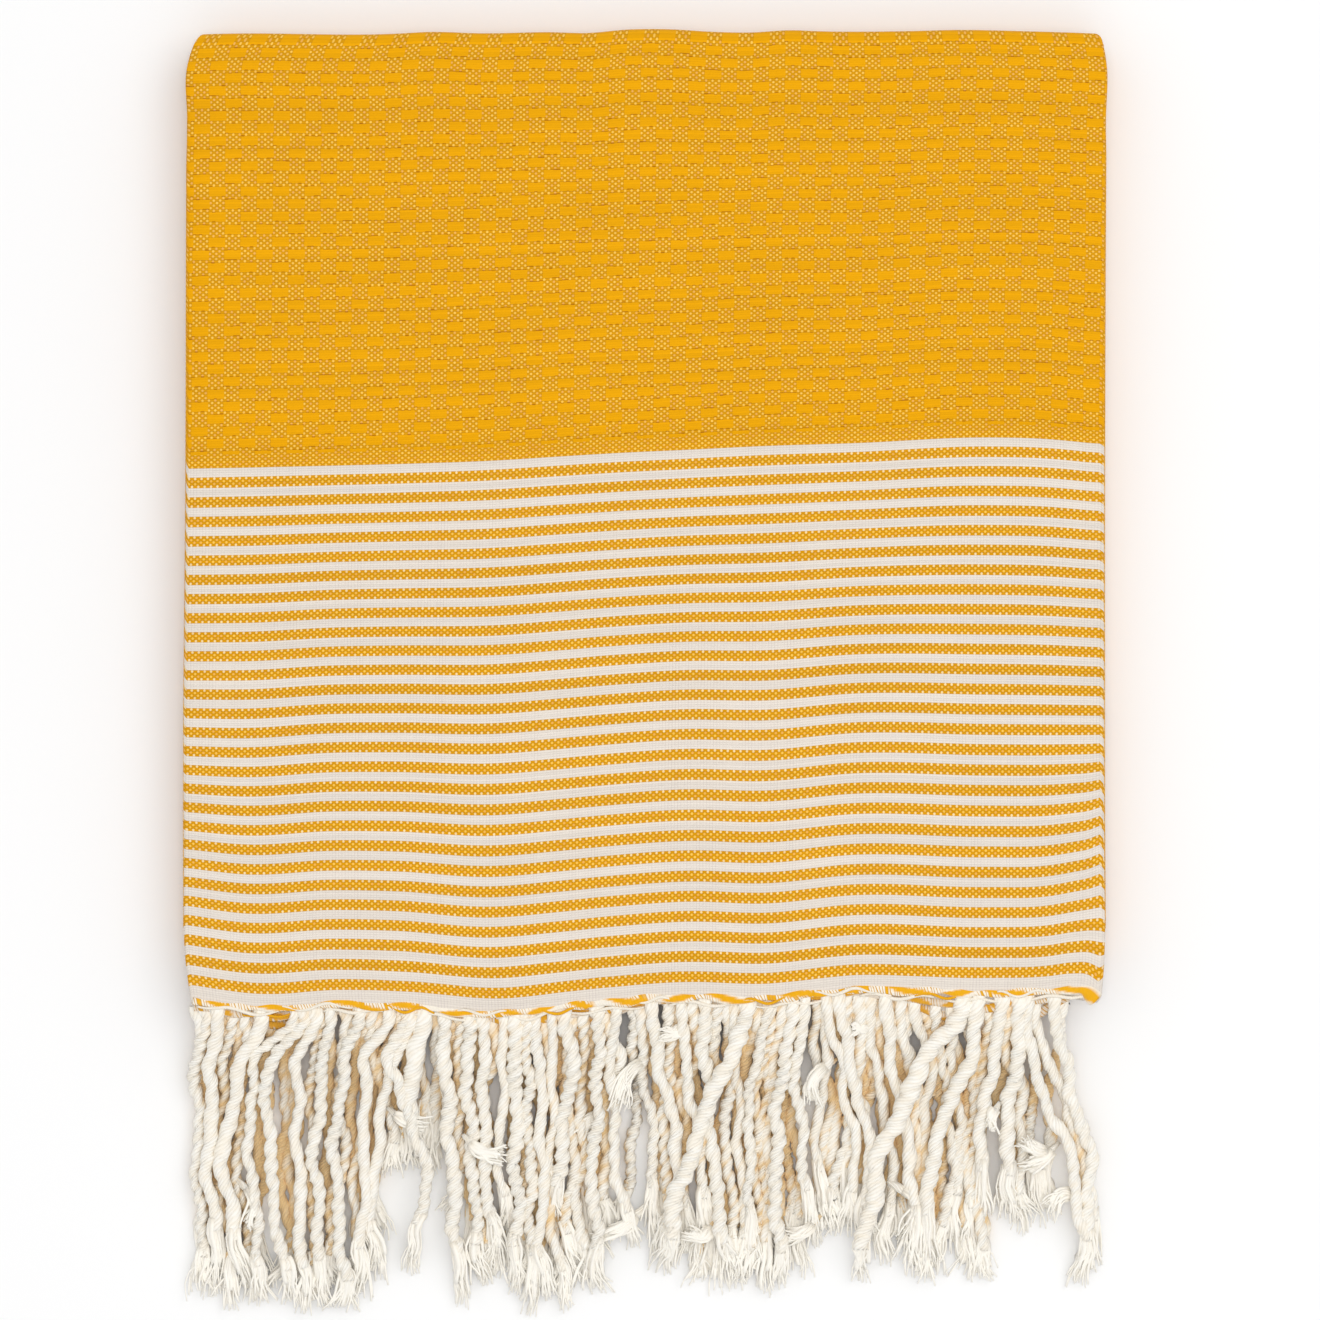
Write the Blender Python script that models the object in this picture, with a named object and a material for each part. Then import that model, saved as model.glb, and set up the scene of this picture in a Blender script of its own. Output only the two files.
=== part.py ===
"""Folded hammam towel with a twisted fringe on both hems.

One cloth is folded in three across its width, and the three plies together are laid to and
fro along the towel's length in six passes, with soft folds at the back and the front. The
front hem lies on top and droops over the front folds, and its fringe falls from there to the
floor. The rear hem ends under the stack, with its fringe flat on the floor.

The face of the towel is up (+Z), its fringe points to -Y, and the origin is at the middle of
the bounding box's base. Sizes are in millimetres until the meshes are made.
"""

import math
from typing import NamedTuple

import bpy
import bmesh

# ---- driving dimensions, in millimetres ----
MILLIMETRE = 0.001
WIDTH = 333.0        # folded towel, from its left fold to its right fold
PLY = 1.0            # thickness of the cloth
PLY_GAP = 0.4        # air between the three plies of one pass
PASS_GAP = 0.45      # air between one pass and the next
SEAM_GAP = 0.4      # air between the cloth's hem and the fringe's backing strip
STRIP = 4.0          # depth of the fringe's backing strip

PLIES = 3
BUNDLE = PLIES * PLY + (PLIES - 1) * PLY_GAP
BUNDLE_MIDDLE = BUNDLE / 2
TURN_RADIUS = (BUNDLE + PASS_GAP) / 2
HALF_WIDTH = WIDTH / 2
SMALL_FOLD = (PLY + PLY_GAP) / 2      # middle ply up to the face, at the left
LARGE_FOLD = PLY + PLY_GAP            # face down to the lowest ply, at the right
MIDDLE_PLY_STOP = 8.0                 # free edge of the middle ply, in from the right fold
UNDER_PLY_STOP = 6.0                  # free edge of the lowest ply, in from the left fold
STRIP_INSET = 3.0                     # a backing strip ends this far inside a side fold
FREE_EDGE_INSET = 0.5                 # and this far inside a free edge

# ---- the path of the passes, seen from the side ----
DROOP_START = 22.0       # the front hem starts to sag this far behind its edge
DROOP = 0.008            # sag, in millimetres for each squared millimetre
HEM_BLEND = 70.0         # the hem's waves die away over this distance
REAR_HEM = 105.0         # the rear hem lies this far behind the front one
MIDDLE_PLY_REACH = 6.0   # the folded-in plies' front hems lie beyond the face's
UNDER_PLY_REACH = 11.0
HIDDEN_WAVE = 0.5        # the folded-in hems wave this much as far as the face's
FRONT_RUNS = (0, 5, 11, 18, 26, 38, 60, 95, 135, 180, 225, 270, 310)
TURN_STEPS = 5
PASS_STEPS = 4
SWELL = 0.012            # share of its height that the stack rises or sinks, here and there
SWELL_START = 40.0
SWELL_LENGTH = 190.0     # half a swell, along the towel
SWELL_WIDTH = 300.0      # a whole swell, across it
SWELL_MIDDLE = -30.0
SWELL_CROSSWAYS = 0.3    # share of the swell that changes across the towel


class Turn(NamedTuple):
    """A fold between two passes."""

    y: float      # its centre, behind the front hem
    shift: float  # how far the next pass lies to the right


class WaveRow(NamedTuple):
    """The front hem's wave at one place across the towel."""

    x: float
    reach: float  # beyond the mean line, towards the fringe


class EdgeRow(NamedTuple):
    """The two side folds at one place along the towel."""

    y: float
    left: float
    right: float


class Strand(NamedTuple):
    """A strand of the front fringe that lies on its own course."""

    layer: str    # "top" lies on the others, "mid" beneath it
    root: float   # x at the hem
    near: float   # x 25 mm from the hem
    far: float    # x 58 mm from the hem
    tip: float    # x at its end
    length: float


class TipRow(NamedTuple):
    """How far the lower strands reach at one place across the towel."""

    x: float
    length: float


TURNS = (
    Turn(347.0, 0.6),
    Turn(26.0, -0.9),
    Turn(343.0, 0.5),
    Turn(19.0, 1.2),
    Turn(345.0, -0.4),
)

HEM_WAVE = (
    WaveRow(-165, 0.4),
    WaveRow(-143, 3.3),
    WaveRow(-113, 2.0),
    WaveRow(-89, 2.5),
    WaveRow(-55, 4.9),
    WaveRow(-31, 2.9),
    WaveRow(-13, 1.1),
    WaveRow(16, -0.9),
    WaveRow(43, -0.2),
    WaveRow(77, -3.3),
    WaveRow(123, -2.2),
    WaveRow(146, -2.9),
    WaveRow(164, -5.4),
)
HIDDEN_ROWS = HEM_WAVE[::2]      # the folded-in plies take every second place

SIDE_EDGES = (
    EdgeRow(-20, -164.5, 165.0),
    EdgeRow(0, -165.5, 165.5),
    EdgeRow(14, -167.0, 166.2),
    EdgeRow(54, -167.6, 166.2),
    EdgeRow(190, -166.8, 166.2),
    EdgeRow(320, -166.4, 166.8),
    EdgeRow(340, -166.2, 167.0),
    EdgeRow(346, -164.4, 166.0),
    EdgeRow(352, -161.5, 164.2),
)

# Strand courses, read from left to right along the hem.
STRANDS = (
    Strand("top", -157, -156, -154, -147, 109),
    Strand("top", -140, -148, -157, -159, 105),
    Strand("top", -127, -142, -152, -153, 109),
    Strand("top", -123, -128, -127, -129, 112),
    Strand("top", -115, -118, -121, -119, 110),
    Strand("top", -105, -109, -113, -109, 112),
    Strand("top", -95, -104, -102, -99, 105),
    Strand("top", -82, -84, -80, -80, 96),
    Strand("mid", -74, -72, -69, -71, 109),
    Strand("top", -65, -67, -69, -65, 112),
    Strand("top", -59, -61, -62, -59, 109),
    Strand("top", -53, -52, -56, -53, 107),
    Strand("top", -47, -47, -47, -46, 109),
    Strand("top", -42, -38, -37, -38, 109),
    Strand("top", -33, -32, -33, -31, 105),
    Strand("top", -28, -25, -27, -22, 105),
    Strand("top", -12, -17, -19, -16, 90),
    Strand("top", 2, 5, 12, 13, 105),
    Strand("top", 13, 14, 18, 21, 107),
    Strand("top", 21, 22, 23, 28, 98),
    Strand("mid", 34, 31, 16, 14, 87),
    Strand("top", 48, 46, 48, 45, 105),
    Strand("top", 55, 51, 54, 58, 87),
    Strand("top", 68, 72, 81, 80, 85),
    Strand("mid", 81, 86, 89, 94, 101),
    Strand("mid", 89, 93, 97, 101, 105),
    Strand("mid", 101, 102, 106, 109, 103),
    Strand("top", 117, 102, 87, 90, 98),
    Strand("top", 122, 118, 105, 103, 103),
    Strand("top", 130, 126, 121, 118, 98),
    Strand("top", 135, 133, 128, 131, 80),
    Strand("mid", 139, 142, 152, 161, 100),
    Strand("top", 141, 147, 158, 151, 81),
    Strand("top", 148, 152, 163, 166, 101),
)

# Where the strands beneath end: the fringe has bays and tongues.
TIP_REACH = (
    TipRow(-165, 103),
    TipRow(-120, 110),
    TipRow(-104, 98),
    TipRow(-92, 60),
    TipRow(-78, 58),
    TipRow(-66, 104),
    TipRow(-30, 107),
    TipRow(-14, 84),
    TipRow(4, 82),
    TipRow(18, 102),
    TipRow(46, 104),
    TipRow(60, 84),
    TipRow(82, 82),
    TipRow(100, 100),
    TipRow(124, 98),
    TipRow(134, 78),
    TipRow(148, 80),
    TipRow(164, 100),
)

# ---- the fringe's layers, each strand a flattened bar a little apart from the next ----
ROOT_WIDTH = 2.6
ROOT_SPACE = 0.7         # least air between two roots
STRAND_WIDTH = 4.8
STRAND_SPACE = 0.4       # least air between two strands of one layer
STRAND_HEIGHT = 3.4
TIP_SHARE = 0.6          # a strand's tip is this share of its width and height
LOW_COUNT = 23
MID_FILL = (
    -158, -148, -134, -118, -108, -99, -88, -64, -56, -40,
    -20, -8, 6, 24, 44, 62, 72, 112, 126, 154,
)
TIP_LIMIT = 161.0        # no tip of these lies further out to a side
END_ROOT = 10.0          # first and last root of a lower layer, in from the side folds
ROOT_WANDER = 3.0        # how far such a strand strays at its root, and then further on
NEAR_WANDER = 6.0
FAR_WANDER = 9.0
TIP_WANDER = 6.0
LENGTH_WANDER = 6.0
LAST_RING = 6.0          # least distance from the last cross-section to the tip
REAR_COUNT = 20
REAR_LENGTH = 104.0
REAR_LENGTH_WANDER = 8.0
REAR_OPEN = 7.0          # the rear strands reach the floor this far from their strip
REAR_RISE = 3.6          # height of the flattened rear strands on the floor
REAR_WIDTH = 4.2


class Ring(NamedTuple):
    """A line across the fringe at which every strand has a cross-section."""

    y: float        # behind the hem line, so in front of it is negative
    height: float   # of a strand's cross-section
    width: float
    low: float      # middle height of each layer of strands
    mid: float
    top: float


RINGS = (
    Ring(-23.5, 2.6, 3.6, 7.0, 10.3, 13.6),
    Ring(-33, 3.2, 4.2, 3.2, 6.9, 10.7),
    Ring(-45, STRAND_HEIGHT, STRAND_WIDTH, 1.7, 5.5, 9.4),
    Ring(-60, STRAND_HEIGHT, STRAND_WIDTH, 1.7, 5.5, 9.3),
    Ring(-78, STRAND_HEIGHT, STRAND_WIDTH, 1.7, 5.5, 9.3),
    Ring(-94, STRAND_HEIGHT, STRAND_WIDTH, 1.7, 5.5, 9.3),
)
NEAR_Y = -25.0
FAR_Y = -58.0


class SectionPoint(NamedTuple):
    """A point on the middle line of the plies, in the bundle's cross-section."""

    x: float
    rise: float     # above the underside of the bundle
    nx: float       # outward normal
    nz: float
    reach: float    # how far the front hem lies beyond the mean line here


def interpolate(rows, value, column):
    """Read a column of a table between its rows, which are sorted by their first column."""
    if value <= rows[0][0]:
        return getattr(rows[0], column)
    for low, high in zip(rows, rows[1:]):
        if value <= high[0]:
            share = (value - low[0]) / (high[0] - low[0])
            return (1 - share) * getattr(low, column) + share * getattr(high, column)
    return getattr(rows[-1], column)


def face_reach(x):
    """Reach of the face ply's front hem."""
    return interpolate(HEM_WAVE, x, "reach")


def middle_reach(x):
    """Reach of the middle ply's front hem."""
    return MIDDLE_PLY_REACH + HIDDEN_WAVE * interpolate(HIDDEN_ROWS, x, "reach")


def under_reach(x):
    """Reach of the lowest ply's front hem."""
    return UNDER_PLY_REACH + HIDDEN_WAVE * interpolate(HIDDEN_ROWS, x, "reach")


def ply_rise(number):
    """Height of a ply's middle in the bundle, counted from the lowest."""
    return PLY / 2 + number * (PLY + PLY_GAP)


def wave_places(rows, left, right):
    """The places of a hem table between two limits, with the limits themselves."""
    margin = 4.0
    inner = [row.x for row in rows if left + margin < row.x < right - margin]
    return [left, *inner, right]


def fold_points(centre_x, centre_rise, radius, start, reach_from, reach_to):
    """Points between the ends of a half turn that joins two plies, turning clockwise."""
    steps = 4
    points = []
    for step in range(1, steps):
        share = step / steps
        angle = start - math.pi * share
        nx = math.cos(angle)
        nz = math.sin(angle)
        reach = (1 - share) * reach_from + share * reach_to
        points.append(
            SectionPoint(centre_x + radius * nx, centre_rise + radius * nz, nx, nz, reach)
        )
    return points


def bundle_section():
    """Middle line of the three plies, from the middle ply's free edge to the lowest one's."""
    left = -HALF_WIDTH + SMALL_FOLD + PLY / 2
    right = HALF_WIDTH - LARGE_FOLD - PLY / 2
    under_rise, middle_rise, face_rise = (ply_rise(number) for number in range(PLIES))
    points = []
    for x in reversed(wave_places(HIDDEN_ROWS, left, HALF_WIDTH - MIDDLE_PLY_STOP)):
        points.append(SectionPoint(x, middle_rise, 0.0, -1.0, middle_reach(x)))
    small_middle = (middle_rise + face_rise) / 2
    points += fold_points(
        left, small_middle, SMALL_FOLD, 1.5 * math.pi, middle_reach(left), face_reach(left)
    )
    for x in wave_places(HEM_WAVE, left, right):
        points.append(SectionPoint(x, face_rise, 0.0, 1.0, face_reach(x)))
    large_middle = (under_rise + face_rise) / 2
    points += fold_points(
        right, large_middle, LARGE_FOLD, 0.5 * math.pi, face_reach(right), under_reach(right)
    )
    for x in reversed(wave_places(HIDDEN_ROWS, -HALF_WIDTH + UNDER_PLY_STOP, right)):
        points.append(SectionPoint(x, under_rise, 0.0, -1.0, under_reach(x)))
    return points


TOP_MIDDLE = BUNDLE_MIDDLE + len(TURNS) * 2 * TURN_RADIUS


def path_at(run):
    """Follow the bundle's middle line for a run from the front hem.

    Returns the place (y, z), the heading as an angle in the side view, and the shift
    of the bundle to the right.
    """
    y_from = 0.0
    z = TOP_MIDDLE
    shift = 0.0
    left_over = run
    for number, turn in enumerate(TURNS):
        forward = number % 2 == 0
        length = abs(turn.y - y_from)
        if left_over <= length:
            y = y_from + left_over if forward else y_from - left_over
            sag = max(0.0, DROOP_START - y) if number == 0 else 0.0
            heading = math.atan(2 * DROOP * sag) if forward else -math.pi
            return y, z - DROOP * sag**2, heading, shift
        left_over -= length
        arc = math.pi * TURN_RADIUS
        if left_over <= arc:
            angle = math.pi * left_over / arc
            side = 1.0 if forward else -1.0
            y = turn.y + side * TURN_RADIUS * math.sin(angle)
            z += TURN_RADIUS * (math.cos(angle) - 1.0)
            heading = -angle if forward else angle - math.pi
            shift += (turn.shift - shift) * left_over / arc
            return y, z, heading, shift
        left_over -= arc
        z -= 2 * TURN_RADIUS
        shift = turn.shift
        y_from = turn.y
    return y_from - left_over, z, -math.pi, shift


def path_length():
    """Length of the path from the front hem's mean line to the rear hem."""
    length = 0.0
    y_from = 0.0
    for turn in TURNS:
        length += abs(turn.y - y_from) + math.pi * TURN_RADIUS
        y_from = turn.y
    return length + y_from - REAR_HEM


def cloth_runs():
    """Distances along the path at which the cloth has a cross-section."""
    runs = [float(run) for run in FRONT_RUNS]
    start = TURNS[0].y
    for number, turn in enumerate(TURNS):
        arc = math.pi * TURN_RADIUS
        runs += [start + arc * step / TURN_STEPS for step in range(TURN_STEPS + 1)]
        start += arc
        is_last = number == len(TURNS) - 1
        y_next = REAR_HEM if is_last else TURNS[number + 1].y
        length = abs(y_next - turn.y)
        runs += [start + length * step / PASS_STEPS for step in range(1, PASS_STEPS)]
        start += length
    return runs + [start]


def settle(x, y, z):
    """Fit a point to the towel's side edges and to its slight swells."""
    left = interpolate(SIDE_EDGES, y, "left")
    right = interpolate(SIDE_EDGES, y, "right")
    middle = (left + right) / 2
    x = middle + x * (right - left) / WIDTH
    lengthways = math.sin(math.pi * (y - SWELL_START) / SWELL_LENGTH)
    crossways = math.cos(2 * math.pi * (x - SWELL_MIDDLE) / SWELL_WIDTH)
    share = 1 - SWELL_CROSSWAYS + SWELL_CROSSWAYS * crossways
    return x, y, z * (1 + SWELL * lengthways * share)


def bundle_point(x, rise, run):
    """A point of the bundle, from its cross-section and its run along the path."""
    y, z, heading, shift = path_at(run)
    out = rise - BUNDLE_MIDDLE
    y -= math.sin(heading) * out
    z += math.cos(heading) * out
    return settle(x + shift, y, z)


def make_object(name, mesh_data, colour):
    """Turn a finished bmesh into a named object with its own material."""
    bmesh.ops.scale(mesh_data, vec=[MILLIMETRE] * 3, verts=mesh_data.verts)
    bmesh.ops.recalc_face_normals(mesh_data, faces=mesh_data.faces)
    if mesh_data.calc_volume(signed=True) < 0:
        bmesh.ops.reverse_faces(mesh_data, faces=mesh_data.faces)
    mesh = bpy.data.meshes.new(name)
    mesh_data.to_mesh(mesh)
    mesh_data.free()
    material = bpy.data.materials.new(name)
    material.use_nodes = True
    shader = material.node_tree.nodes["Principled BSDF"]
    shader.inputs["Base Color"].default_value = (*colour, 1.0)
    shader.inputs["Roughness"].default_value = 0.9
    mesh.materials.append(material)
    made = bpy.data.objects.new(name, mesh)
    bpy.context.scene.collection.objects.link(made)
    return made


def join_rings(mesh_data, ring, next_ring):
    """Wall in the space between two rings of as many vertices."""
    for i in range(len(ring)):
        j = (i + 1) % len(ring)
        mesh_data.faces.new((ring[i], ring[j], next_ring[j], next_ring[i]))


def cap_plies(mesh_data, ring):
    """Close one end of the cloth, ply by ply, with a quad between neighbouring points."""
    count = len(ring) // 2
    for i in range(count - 1):
        outer, outer_next = ring[i], ring[i + 1]
        inner, inner_next = ring[-1 - i], ring[-2 - i]
        mesh_data.faces.new((outer, outer_next, inner_next, inner))


def make_cloth(colour):
    """The cloth: the bundle's cross-section carried along the path of the passes."""
    section = bundle_section()
    outline = [(point, PLY / 2) for point in section]
    outline += [(point, -PLY / 2) for point in reversed(section)]
    mesh_data = bmesh.new()
    rings = []
    for run in cloth_runs():
        wave = max(0.0, 1.0 - run / HEM_BLEND)
        ring = []
        for point, side in outline:
            x = point.x + side * point.nx
            rise = point.rise + side * point.nz
            place = bundle_point(x, rise, run - wave * point.reach)
            ring.append(mesh_data.verts.new(place))
        rings.append(ring)
    for ring, next_ring in zip(rings, rings[1:]):
        join_rings(mesh_data, ring, next_ring)
    cap_plies(mesh_data, rings[0])
    cap_plies(mesh_data, rings[-1])
    return make_object("cloth", mesh_data, colour)


def spread(places, pitch):
    """Move places along a line as little as needed to lie a pitch apart, in the same order."""
    forward = list(places)
    for i in range(1, len(forward)):
        forward[i] = max(forward[i], forward[i - 1] + pitch)
    backward = list(places)
    for i in range(len(backward) - 2, -1, -1):
        backward[i] = min(backward[i], backward[i + 1] - pitch)
    return [(a + b) / 2 for a, b in zip(forward, backward)]


def wander(number, span):
    """An even-handed wobble, different for each strand, of up to half a span either way."""
    return span * (math.modf(number * 0.618034)[0] - 0.5)


def fill_strand(layer, number, root):
    """A strand between the courses above, which hangs nearly straight and ends at the edge."""
    near = root + wander(number, NEAR_WANDER)
    far = near + wander(number + 5, FAR_WANDER)
    tip = far + wander(number + 11, TIP_WANDER)
    tip = max(-TIP_LIMIT, min(TIP_LIMIT, tip))
    length = interpolate(TIP_REACH, tip, "length") + wander(number + 3, LENGTH_WANDER)
    return Strand(layer, root, near, far, tip, length)


def layer_strands(layer):
    """All strands of one layer of the front fringe, from left to right."""
    strands = [strand for strand in STRANDS if strand.layer == layer]
    if layer == "mid":
        strands += [fill_strand(layer, i, x) for i, x in enumerate(MID_FILL)]
    if layer == "low":
        first = -HALF_WIDTH + END_ROOT
        pitch = -2 * first / (LOW_COUNT - 1)
        strands += [
            fill_strand(layer, i + 40, first + pitch * i + wander(i, ROOT_WANDER))
            for i in range(LOW_COUNT)
        ]
    return sorted(strands, key=lambda strand: strand.root)


def course(strand, y):
    """A strand's x where it crosses a line in front of the hem."""
    tip_y = min(-strand.length, FAR_Y - LAST_RING)
    knots = ((0.0, strand.root), (NEAR_Y, strand.near), (FAR_Y, strand.far), (tip_y, strand.tip))
    for (y_from, x_from), (y_to, x_to) in zip(knots, knots[1:]):
        if y >= y_to:
            share = (y_from - y) / (y_from - y_to)
            return x_from + share * (x_to - x_from)
    return strand.tip


def layer_courses(strands):
    """The x of every strand at every ring and at its tip, kept apart from its neighbours."""
    table = []
    for ring in RINGS:
        places = [course(strand, ring.y) for strand in strands]
        table.append(spread(places, ring.width + STRAND_SPACE))
    tips = spread([strand.tip for strand in strands], STRAND_WIDTH + STRAND_SPACE)
    return table, tips


def bar_section(mesh_data, x, y, z, width, height):
    """Four corners of a strand's cross-section: left and right below, right and left above."""
    corners = ((-1, -1), (1, -1), (1, 1), (-1, 1))
    return [
        mesh_data.verts.new((x + side * width / 2, y, z + up * height / 2))
        for side, up in corners
    ]


def make_strip(mesh_data, roots, ply, run_at):
    """The backing strip of one ply. Returns the open root of each strand as four vertices."""
    limits = strip_limits(ply)
    starts = [root - ROOT_WIDTH / 2 for root in roots]
    stops = [root + ROOT_WIDTH / 2 for root in roots]
    corners = [
        row.x for row in HEM_WAVE if all(abs(row.x - root) > ROOT_WIDTH for root in roots)
    ]
    breaks = sorted([*limits, *starts, *stops, *corners])
    breaks = [x for x in breaks if limits[0] <= x <= limits[1]]
    lines = []
    for x in breaks:
        line = []
        for depth in (SEAM_GAP, SEAM_GAP + STRIP):
            for side in (-PLY / 2, PLY / 2):
                place = bundle_point(x, ply_rise(ply) + side, run_at(x, depth))
                line.append(mesh_data.verts.new(place))
        lines.append(line)
    openings = []
    for x, line, next_line in zip(breaks, lines, lines[1:]):
        near_low, near_high, far_low, far_high = line
        next_near_low, next_near_high, next_far_low, next_far_high = next_line
        mesh_data.faces.new((near_low, near_high, next_near_high, next_near_low))
        mesh_data.faces.new((near_low, next_near_low, next_far_low, far_low))
        mesh_data.faces.new((near_high, far_high, next_far_high, next_near_high))
        root = [far_low, next_far_low, next_far_high, far_high]
        if x in starts:
            openings.append(root)
        else:
            mesh_data.faces.new(root)
    for near_low, near_high, far_low, far_high in (lines[0], lines[-1]):
        mesh_data.faces.new((near_low, near_high, far_high, far_low))
    return openings


def strip_limits(ply):
    """Where a ply's backing strip starts and ends, just inside its folds and its free edge."""
    left = -HALF_WIDTH + STRIP_INSET
    right = HALF_WIDTH - STRIP_INSET
    if ply == 0:
        left = -HALF_WIDTH + UNDER_PLY_STOP + FREE_EDGE_INSET
    if ply == 1:
        right = HALF_WIDTH - MIDDLE_PLY_STOP - FREE_EDGE_INSET
    return left, right


def make_front_fringe(layer, ply, reach_at, colour):
    """One ply's strip on the front hem, with its strands falling to their layer."""
    mesh_data = bmesh.new()
    strands = layer_strands(layer)
    roots = spread([strand.root for strand in strands], ROOT_WIDTH + ROOT_SPACE)
    openings = make_strip(mesh_data, roots, ply, lambda x, depth: -reach_at(x) - depth)
    table, tips = layer_courses(strands)
    for number, (strand, section) in enumerate(zip(strands, openings)):
        for ring, places in zip(RINGS, table):
            if ring.y < -strand.length + LAST_RING:
                break
            z = getattr(ring, layer)
            next_section = bar_section(
                mesh_data, places[number], ring.y, z, ring.width, ring.height
            )
            join_rings(mesh_data, section, next_section)
            section = next_section
        tip_height = TIP_SHARE * STRAND_HEIGHT
        tip_z = z - (STRAND_HEIGHT - tip_height) / 2
        tip_section = bar_section(
            mesh_data, tips[number], -strand.length, tip_z, TIP_SHARE * STRAND_WIDTH, tip_height
        )
        join_rings(mesh_data, section, tip_section)
        mesh_data.faces.new(tip_section)
    return make_object(f"fringe_front_{layer}", mesh_data, colour)


def make_rear_fringe(name, ply, colour):
    """One ply's strip on the rear hem, with its strands flat on the floor under the stack."""
    mesh_data = bmesh.new()
    pitch = (WIDTH - 2 * END_ROOT) / REAR_COUNT
    first = -HALF_WIDTH + END_ROOT + pitch * (ply + 0.5) / PLIES
    roots = [first + pitch * i for i in range(REAR_COUNT)]
    end_run = path_length()
    openings = make_strip(mesh_data, roots, ply, lambda x, depth: end_run + depth)
    strip_y = REAR_HEM - SEAM_GAP - STRIP
    for number, (root, opening) in enumerate(zip(roots, openings)):
        section = opening[::-1]    # the rear pass lies upside down
        length = REAR_LENGTH + wander(number * PLIES + ply, REAR_LENGTH_WANDER)
        tip_width = TIP_SHARE * REAR_WIDTH
        steps = ((REAR_OPEN, REAR_WIDTH), (length / 2, REAR_WIDTH), (length, tip_width))
        for distance, width in steps:
            next_section = bar_section(
                mesh_data, root, strip_y - distance, REAR_RISE / 2, width, REAR_RISE
            )
            join_rings(mesh_data, section, next_section)
            section = next_section
        mesh_data.faces.new(section)
    return make_object(f"fringe_rear_{name}", mesh_data, colour)


def centre_on_base(objects):
    """Move the meshes so that the origin is at the middle of the bounding box's base."""
    corners = [vertex.co for made in objects for vertex in made.data.vertices]
    low = [min(corner[axis] for corner in corners) for axis in range(3)]
    high = [max(corner[axis] for corner in corners) for axis in range(3)]
    middle = [(low[0] + high[0]) / 2, (low[1] + high[1]) / 2, low[2]]
    for made in objects:
        for vertex in made.data.vertices:
            vertex.co = [vertex.co[axis] - middle[axis] for axis in range(3)]


def main():
    """Clear the scene and build the towel."""
    for old in list(bpy.data.objects):
        bpy.data.objects.remove(old, do_unlink=True)
    yellow = (0.80, 0.45, 0.03)
    cream = (0.80, 0.76, 0.66)
    objects = [make_cloth(yellow)]
    hems = (("low", under_reach), ("mid", middle_reach), ("top", face_reach))
    for ply, (layer, reach_at) in enumerate(hems):
        objects.append(make_front_fringe(layer, ply, reach_at, cream))
    for ply, name in enumerate(("top", "mid", "low")):
        objects.append(make_rear_fringe(name, ply, cream))
    centre_on_base(objects)


main()
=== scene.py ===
"""Folded hammam towel with a twisted fringe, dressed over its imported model.

The woven cloth, its hems and every cord of the fringe are built as real meshes on the
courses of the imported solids. Sizes are in millimetres, in a frame whose y is 0 at the mean
line of the front hem and grows towards the folded far end. They become metres, in the frame
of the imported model, when a mesh is made.
"""

import logging
import math
from dataclasses import dataclass
from enum import Enum
from typing import NamedTuple

import bpy
import numpy as np
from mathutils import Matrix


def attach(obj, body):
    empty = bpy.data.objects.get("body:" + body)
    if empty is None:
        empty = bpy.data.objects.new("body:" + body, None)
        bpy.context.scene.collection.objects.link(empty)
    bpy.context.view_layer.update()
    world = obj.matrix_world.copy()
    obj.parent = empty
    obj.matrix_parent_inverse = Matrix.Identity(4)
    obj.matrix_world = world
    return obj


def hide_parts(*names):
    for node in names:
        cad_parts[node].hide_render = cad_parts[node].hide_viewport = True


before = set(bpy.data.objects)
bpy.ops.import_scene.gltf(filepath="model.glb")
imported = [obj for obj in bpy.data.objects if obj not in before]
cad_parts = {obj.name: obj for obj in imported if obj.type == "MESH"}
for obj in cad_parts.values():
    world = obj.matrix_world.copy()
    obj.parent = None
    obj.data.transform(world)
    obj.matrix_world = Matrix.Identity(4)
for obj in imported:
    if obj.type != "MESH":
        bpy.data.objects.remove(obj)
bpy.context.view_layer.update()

log = logging.getLogger("towel")

MILLIMETRE = 0.001
PER_METRE = 1000.0                          # millimetres in a metre
ORIGIN = np.array([-0.144, 119.414, 0.0])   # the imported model's origin, in millimetres here
GOLDEN_SHARE = 0.618034


Array = np.ndarray
Socket = bpy.types.NodeSocket
Feed = Socket | float | int | tuple     # what can feed a node's input
Node = bpy.types.Node
Tree = bpy.types.NodeTree
Material = bpy.types.Material
Piece = bpy.types.Object


class Slot(Enum):
    """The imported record's material slots."""

    CLOTH = "woven_cotton"
    CORD = "twisted_cotton"


class Ply(Enum):
    """The three plies of one pass, counted from the lowest."""

    UNDER = 0
    MIDDLE = 1
    FACE = 2


class Fold(NamedTuple):
    """A fold between two passes."""

    y: float      # its centre, behind the front hem
    shift: float  # how far the next pass lies to the right


class WaveRow(NamedTuple):
    """How far the face's threads lie off their straight lines, at one place across."""

    x: float
    hem: float     # towards the fold, at the front hem
    near: float    # the same 26 mm behind the hem
    middle: float  # 97 mm behind it
    far: float     # 197 mm behind it


class SlipRow(NamedTuple):
    """How much further the lower plies' hems have slipped out at one place across."""

    x: float
    middle: float
    under: float


class EdgeRow(NamedTuple):
    """The two side folds at one place along the towel."""

    y: float
    left: float
    right: float


class FoldRow(NamedTuple):
    """How far the far fold stands out, at one place across."""

    x: float
    out: float


class Hump(NamedTuple):
    """A soft rise of the face ply."""

    x: float
    y: float
    half_width: float
    half_length: float
    height: float


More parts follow.
